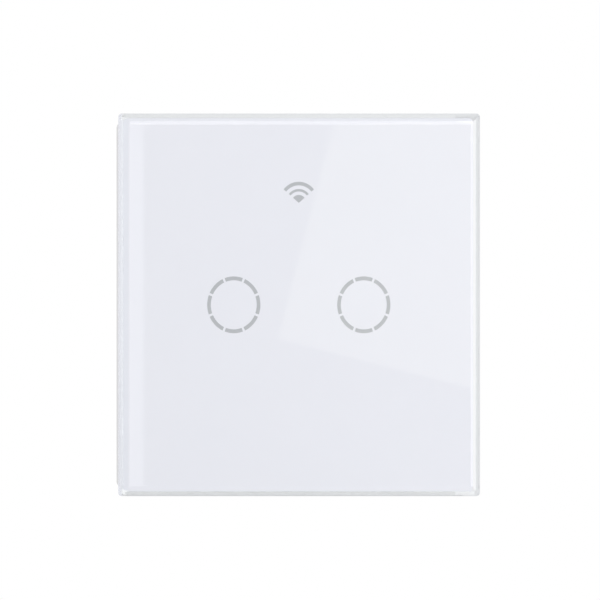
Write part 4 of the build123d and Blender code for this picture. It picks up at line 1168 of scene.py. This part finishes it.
def spring_line(middle, low, high):
    """The wire's middle line: off the board, over in a short bend, then round and round towards the room."""
    bend_start = high.y - 2 * spring_wire_radius
    coil_start, coil_end = bend_start - spring_rise, low.y + spring_wire_radius
    line = [round_place(middle, spring_radius, lead_angle, high.y)]
    for step in range(lead_points + 1):
        share = step / lead_points
        depth = bend_start - spring_rise * math.sin(share * math.pi / 2)
        line.append(round_place(middle, spring_radius, lead_angle * (1 - share * share), depth))
    turns = round(spring_turns * points_per_turn)
    for step in range(1, turns + 1):
        depth = coil_start + (coil_end - coil_start) * step / turns
        line.append(round_place(middle, spring_radius, 2 * math.pi * step / points_per_turn, depth))
    return line


wires = wire_tree("bent_wire", "spring_wire")
for node, middle in zip(spring_nodes, ring_middles):
    grown(f"{node}_made", wires, [spring_line(middle, *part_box(node))], "spring_wire", node)

# Ring lights and signal light
# Small light chips soldered on the front of the touch board: four behind each ring, one behind the signal
# mark. Each is cast in a clear, faintly yellow resin.
light_edge = 0.06 * mm
resin_relief = 0.004 * mm


def light_resin():
    """Clear yellow-tinted resin over the chip."""
    tree, place = new_finish("light_resin")
    cloudy = noise(tree, place, 2200.0, 3.0)
    end_finish(
        tree, base_color=between(tree, cloudy, (0.70, 0.62, 0.22), (0.82, 0.76, 0.40)),
        roughness=spread(tree, cloudy, 0.12, 0.24), coat_weight=0.4, coat_roughness=0.05,
        normal=raised(tree, cloudy, resin_relief),
    )


light_resin()
for node in ("ring_lights", "signal_light"):
    eased_piece(node, "light_chip", light_edge, finish="light_resin")

# Touch chip
# A flat moulded package of black epoxy with eight bent legs on each side. The tinned legs are soldered to
# the back of the touch board.
chip_edge = 0.08 * mm

packaged_chip("touch_chip", chip_edge)

# Radio module
# A small blue board on the back of the touch board. A tinned sheet-metal can covers its chips, and the
# printed antenna's end stays free of the can.
shield_edge = 0.08 * mm

masked_board("blue_board", (0.008, 0.03, 0.14), (0.014, 0.05, 0.21))
eased_piece("radio_module", "blue_board", board_edge)
eased_piece("radio_shield", "tin_can", shield_edge)

# Light guides
# Milky clear mouldings of acrylic behind the marks, which let the light through and scatter it. Each has a
# flange that is bonded to the back of the carrier.
guide_edge = 0.12 * mm

moulded(
    "light_guide", (0.80, 0.83, 0.83), (0.88, 0.90, 0.90), 0.18, 0.32, fineness=1200.0, depth=0.003 * mm,
    IOR=1.49, transmission_weight=0.35,
)
for mark in ("left", "right", "signal"):
    eased_piece(f"{mark}_light_guide", "light_guide", guide_edge, body="touch_panel")

# Panel carrier
# The white tray behind the glass, moulded with a fine satin skin. Its rim closes over the mounting frame,
# with a pry notch on the right.
carrier_edge = 0.2 * mm

moulded(
    "white_plastic", (0.80, 0.80, 0.795), (0.85, 0.85, 0.845), 0.34, 0.48, fineness=3000.0, depth=0.006 * mm
)
eased_piece("panel_carrier", "white_plastic", carrier_edge, body="touch_panel")

# Bonding tape
# A ring of white foam tape, cut to shape and sticky on both sides. It holds the printed glass on the front
# of the carrier.
tape_edge = 0.06 * mm

moulded("foam_tape", (0.76, 0.76, 0.74), (0.84, 0.84, 0.82), 0.7, 0.88, fineness=4500.0, depth=0.05 * mm)
eased_piece("bonding_tape", "foam_tape", tape_edge, body="touch_panel")

# White print
# The white ink that is baked on the back of the glass, short of its edges. It is printed through a screen
# and left open at the marks.
ink_relief = 0.001 * mm


def dress_node(node, finish):
    """Gives a CAD node that stays as it is its finish."""
    for material_slot in cad_nodes[node].material_slots:
        material_slot.material = finishes[finish]


def ink(name, dark, light, glossy, dull, fineness):
    """A layer of baked ink: its shade drifts slowly, and the screen's mesh shows very faintly."""
    tree, place = new_finish(name)
    grain = pattern(tree, moulded_grain, place, Fineness=fineness)
    screen = pattern(tree, glass_weave, place, Threads=1400.0)
    end_finish(
        tree, base_color=between(tree, grain["Shade"], dark, light),
        roughness=spread(tree, grain["Gloss"], glossy, dull),
        normal=raised(tree, screen["Height"], ink_relief),
    )


ink("white_ink", (0.832, 0.834, 0.884), (0.842, 0.842, 0.890), 0.5, 0.6, 2600.0)
dress_node("white_print", "white_ink")

# Ring windows and signal window
# Grey translucent ink in the openings of the white print: eight dashes in each ring, and the signal mark's
# wedge and two arcs. The lights shine through it.
ink("grey_diffuser", (0.44, 0.45, 0.47), (0.50, 0.51, 0.53), 0.45, 0.55, 3200.0)
for node in ("left_ring_window", "right_ring_window", "signal_window"):
    dress_node(node, "grey_diffuser")

# Glass panel
# The square front of 3 mm tempered glass, its edges ground to a soft curve, its sharp edges broken and its
# corners mitred. Its back goes 0.01 mm into the print, so that the print shows as bonded to it.
panel_side = 86.0 * mm
glass_front = -10.0 * mm
glass_back = -6.99 * mm
edge_curve_width = 2.4 * mm
edge_curve_drop = 0.45 * mm
edge_break = 0.2 * mm
ground_width = 1.3 * mm
ground_relief = 0.001 * mm
glass_corner_radius = 0.8 * mm
least_corner_radius = 0.05 * mm
edge_curve_steps = 14
corner_steps = 6
mitre_angle = math.radians(18)


def square_outline(inset, depth):
    """Places round the glass's outline that far inside its edge, with rounded corners, at that depth."""
    half, radius = panel_side / 2 - inset, max(glass_corner_radius - inset, least_corner_radius)
    places = []
    for turn, (x_side, z_side) in enumerate(((1, 1), (-1, 1), (-1, -1), (1, -1))):
        for step in range(corner_steps + 1):
            angle = math.radians(90 * (turn + step / corner_steps))
            x = x_side * (half - radius) + radius * math.cos(angle)
            z = z_side * (half - radius) + radius * math.sin(angle)
            places.append((x, depth, z))
    return places


def glass_section():
    """Pairs of inset and depth, from the back of the glass round its edge to the front."""
    run = edge_curve_width - edge_break
    curve_radius = (run * run + edge_curve_drop * edge_curve_drop) / (2 * edge_curve_drop)
    pairs = [(edge_break, glass_back), (0.0, glass_back - edge_break)]
    pairs.append((0.0, glass_front + edge_curve_drop + edge_break))
    for step in range(edge_curve_steps + 1):
        across = run * (1 - step / edge_curve_steps)
        rise = curve_radius - math.sqrt(curve_radius * curve_radius - across * across)
        pairs.append((edge_curve_width - across, glass_front + rise))
    pairs.append((edge_curve_width + edge_break, glass_front))
    return pairs


def glass_finish(name, thin_tint, thick_tint, polished, smeared, lapped=0.0):
    """Glass with a breath of green and faint smears. Shadow rays go straight through it to the print."""
    tree, place = new_finish(name)
    smears = noise(tree, place, 60.0, 4.0, Distortion=0.6)
    sockets = {
        "Base Color": between(tree, smears, thick_tint, thin_tint),
        "Roughness": spread(tree, smears, polished, smeared), "IOR": 1.5, "Transmission Weight": 1.0,
    }
    if lapped:
        sockets["Normal"] = raised(tree, noise(tree, place, 1600.0, 3.0), lapped)
    body = result(tree, "ShaderNodeBsdfPrincipled", sockets)
    clear = result(tree, "ShaderNodeBsdfTransparent", {"Color": (0.985, 0.995, 0.992, 1.0)})
    rays = add_node(tree, "ShaderNodeLightPath").outputs
    straight = calc(tree, "MAXIMUM", rays["Is Shadow Ray"], rays["Is Diffuse Ray"])
    mixed = result(tree, "ShaderNodeMixShader", {0: straight, 1: body, 2: clear})
    add_node(tree, "ShaderNodeOutputMaterial", {"Surface": mixed})


glass_finish("clear_glass", (0.985, 0.996, 0.993), (0.975, 0.990, 0.986), 0.012, 0.024)
# The ground band round the edge is rougher and lapped, and its tint is darker than the face's: painted shade
# for the clear margin, over the glass's own green.
glass_finish("ground_edge_painted_shade", (0.930, 0.960, 0.962), (0.900, 0.934, 0.940), 0.03, 0.06, ground_relief)
glass_outlines = [square_outline(inset, depth) for inset, depth in glass_section()]
glass = lofted("glass_panel_made", glass_outlines, "clear_glass", "ground_edge_painted_shade", sharp=mitre_angle)
# Faces of the outer band take the ground finish with its painted shade.
ground_reach = panel_side / 2 - ground_width
for face in glass.data.polygons:
    face.material_index = 1 if max(abs(face.center.x), abs(face.center.z)) > ground_reach else 0
fit(glass, "clear_glass", "glass_panel", body="touch_panel")

# Floor, light and camera
# A plain pale floor a little below the switch, a white studio round it with five soft lights in front and
# one behind, and the camera far off to the left of it.
floor_half = 3.0
floor_drop = 30 * mm
light_distance = 700 * mm
cool = (0.985, 0.985, 1.0)
warm = (1.0, 1.0, 0.78)
view_azimuth = math.radians(-20.5)
view_width = 134.86 * mm
camera_distance = 900 * mm
camera_rise = 1.08 * mm
camera_aside = 3.1 * mm

scene = bpy.context.scene
scene.view_settings.view_transform = "Standard"


def studio_floor():
    """A wide floor below the switch, which hangs above it as on a wall."""
    height = cad_box[0].z - floor_drop
    corners = [(x * floor_half, y * floor_half, height) for x, y in ((-1, -1), (1, -1), (1, 1), (-1, 1))]
    mesh = bpy.data.meshes.new("studio_floor")
    mesh.from_pydata(corners, [], [(0, 1, 2, 3)])
    mesh.materials.append(finishes["pale_floor"])
    return new_object("studio_floor", mesh)


moulded("pale_floor", (0.80, 0.80, 0.80), (0.84, 0.84, 0.84), 0.6, 0.7, 300.0)
studio_floor()


def towards(azimuth, elevation=0.0):
    """The direction from the switch to a place in the room, azimuth 0 being straight in front."""
    level = math.cos(elevation)
    return Vector((math.sin(azimuth) * level, -math.cos(azimuth) * level, math.sin(elevation)))


def soft_light(name, azimuth, elevation, width, height, brightness, lean=0.0, aside=0.0, rise=0.0, tint=cool):
    """A rectangular soft light that faces the switch, that bright, moved in its own plane and leaning."""
    lamp = bpy.data.lights.new(name, "AREA")
    lamp.shape = "RECTANGLE"
    lamp.size = width
    lamp.size_y = height
    lamp.energy = brightness * math.pi * width * height
    lamp.color = tint
    way = towards(math.radians(azimuth), math.radians(elevation))
    facing = way.to_track_quat("Z", "Y").to_matrix().to_4x4()
    shift = Matrix.Translation((aside, rise, 0.0))
    leaning = Matrix.Rotation(math.radians(lean), 4, "Z")
    new_object(name, lamp).matrix_world = Matrix.Translation(way * light_distance) @ facing @ shift @ leaning


soft_light(
    "face_light", 20.5, 0.0, width=60 * mm, height=150 * mm, brightness=0.8, lean=-14.5, aside=39.0 * mm,
    rise=57.5 * mm, tint=warm,
)
soft_light("right_strip", 35.5, 0.0, width=290 * mm, height=360 * mm, brightness=2.6)
soft_light("top_strip", 20.5, 10.0, width=300 * mm, height=156 * mm, brightness=2.2)
soft_light("left_strip", 10.0, 0.0, width=180 * mm, height=200 * mm, brightness=1.4)
soft_light("left_light", -80.0, 0.0, width=360 * mm, height=300 * mm, brightness=1.7)
soft_light("back_light", 148.0, 42.0, width=300 * mm, height=300 * mm, brightness=3.0)

world = bpy.data.worlds.new("white_studio")
world.use_nodes = True
scene.world = world
studio = world.node_tree
studio.nodes.clear()
seen = result(studio, "ShaderNodeBackground", {"Color": (1.0, 1.0, 1.0, 1.0), "Strength": 1.0})
around = result(studio, "ShaderNodeBackground", {"Color": (0.985, 0.98, 1.0, 1.0), "Strength": 0.8})
camera_ray = result(studio, "ShaderNodeLightPath")
chosen = result(studio, "ShaderNodeMixShader", {0: camera_ray, 1: around, 2: seen})
add_node(studio, "ShaderNodeOutputWorld", {"Surface": chosen})

lens = bpy.data.cameras.new("studio_camera")
lens.type = "ORTHO"
lens.ortho_scale = view_width
camera = new_object("studio_camera", lens)
back = towards(view_azimuth)
right = Vector((math.cos(view_azimuth), math.sin(view_azimuth), 0.0))
camera.rotation_mode = "QUATERNION"
camera.location = right * camera_aside + Vector((0.0, 0.0, camera_rise)) + back * camera_distance
camera.rotation_quaternion = back.to_track_quat("Z", "Y")
scene.camera = camera
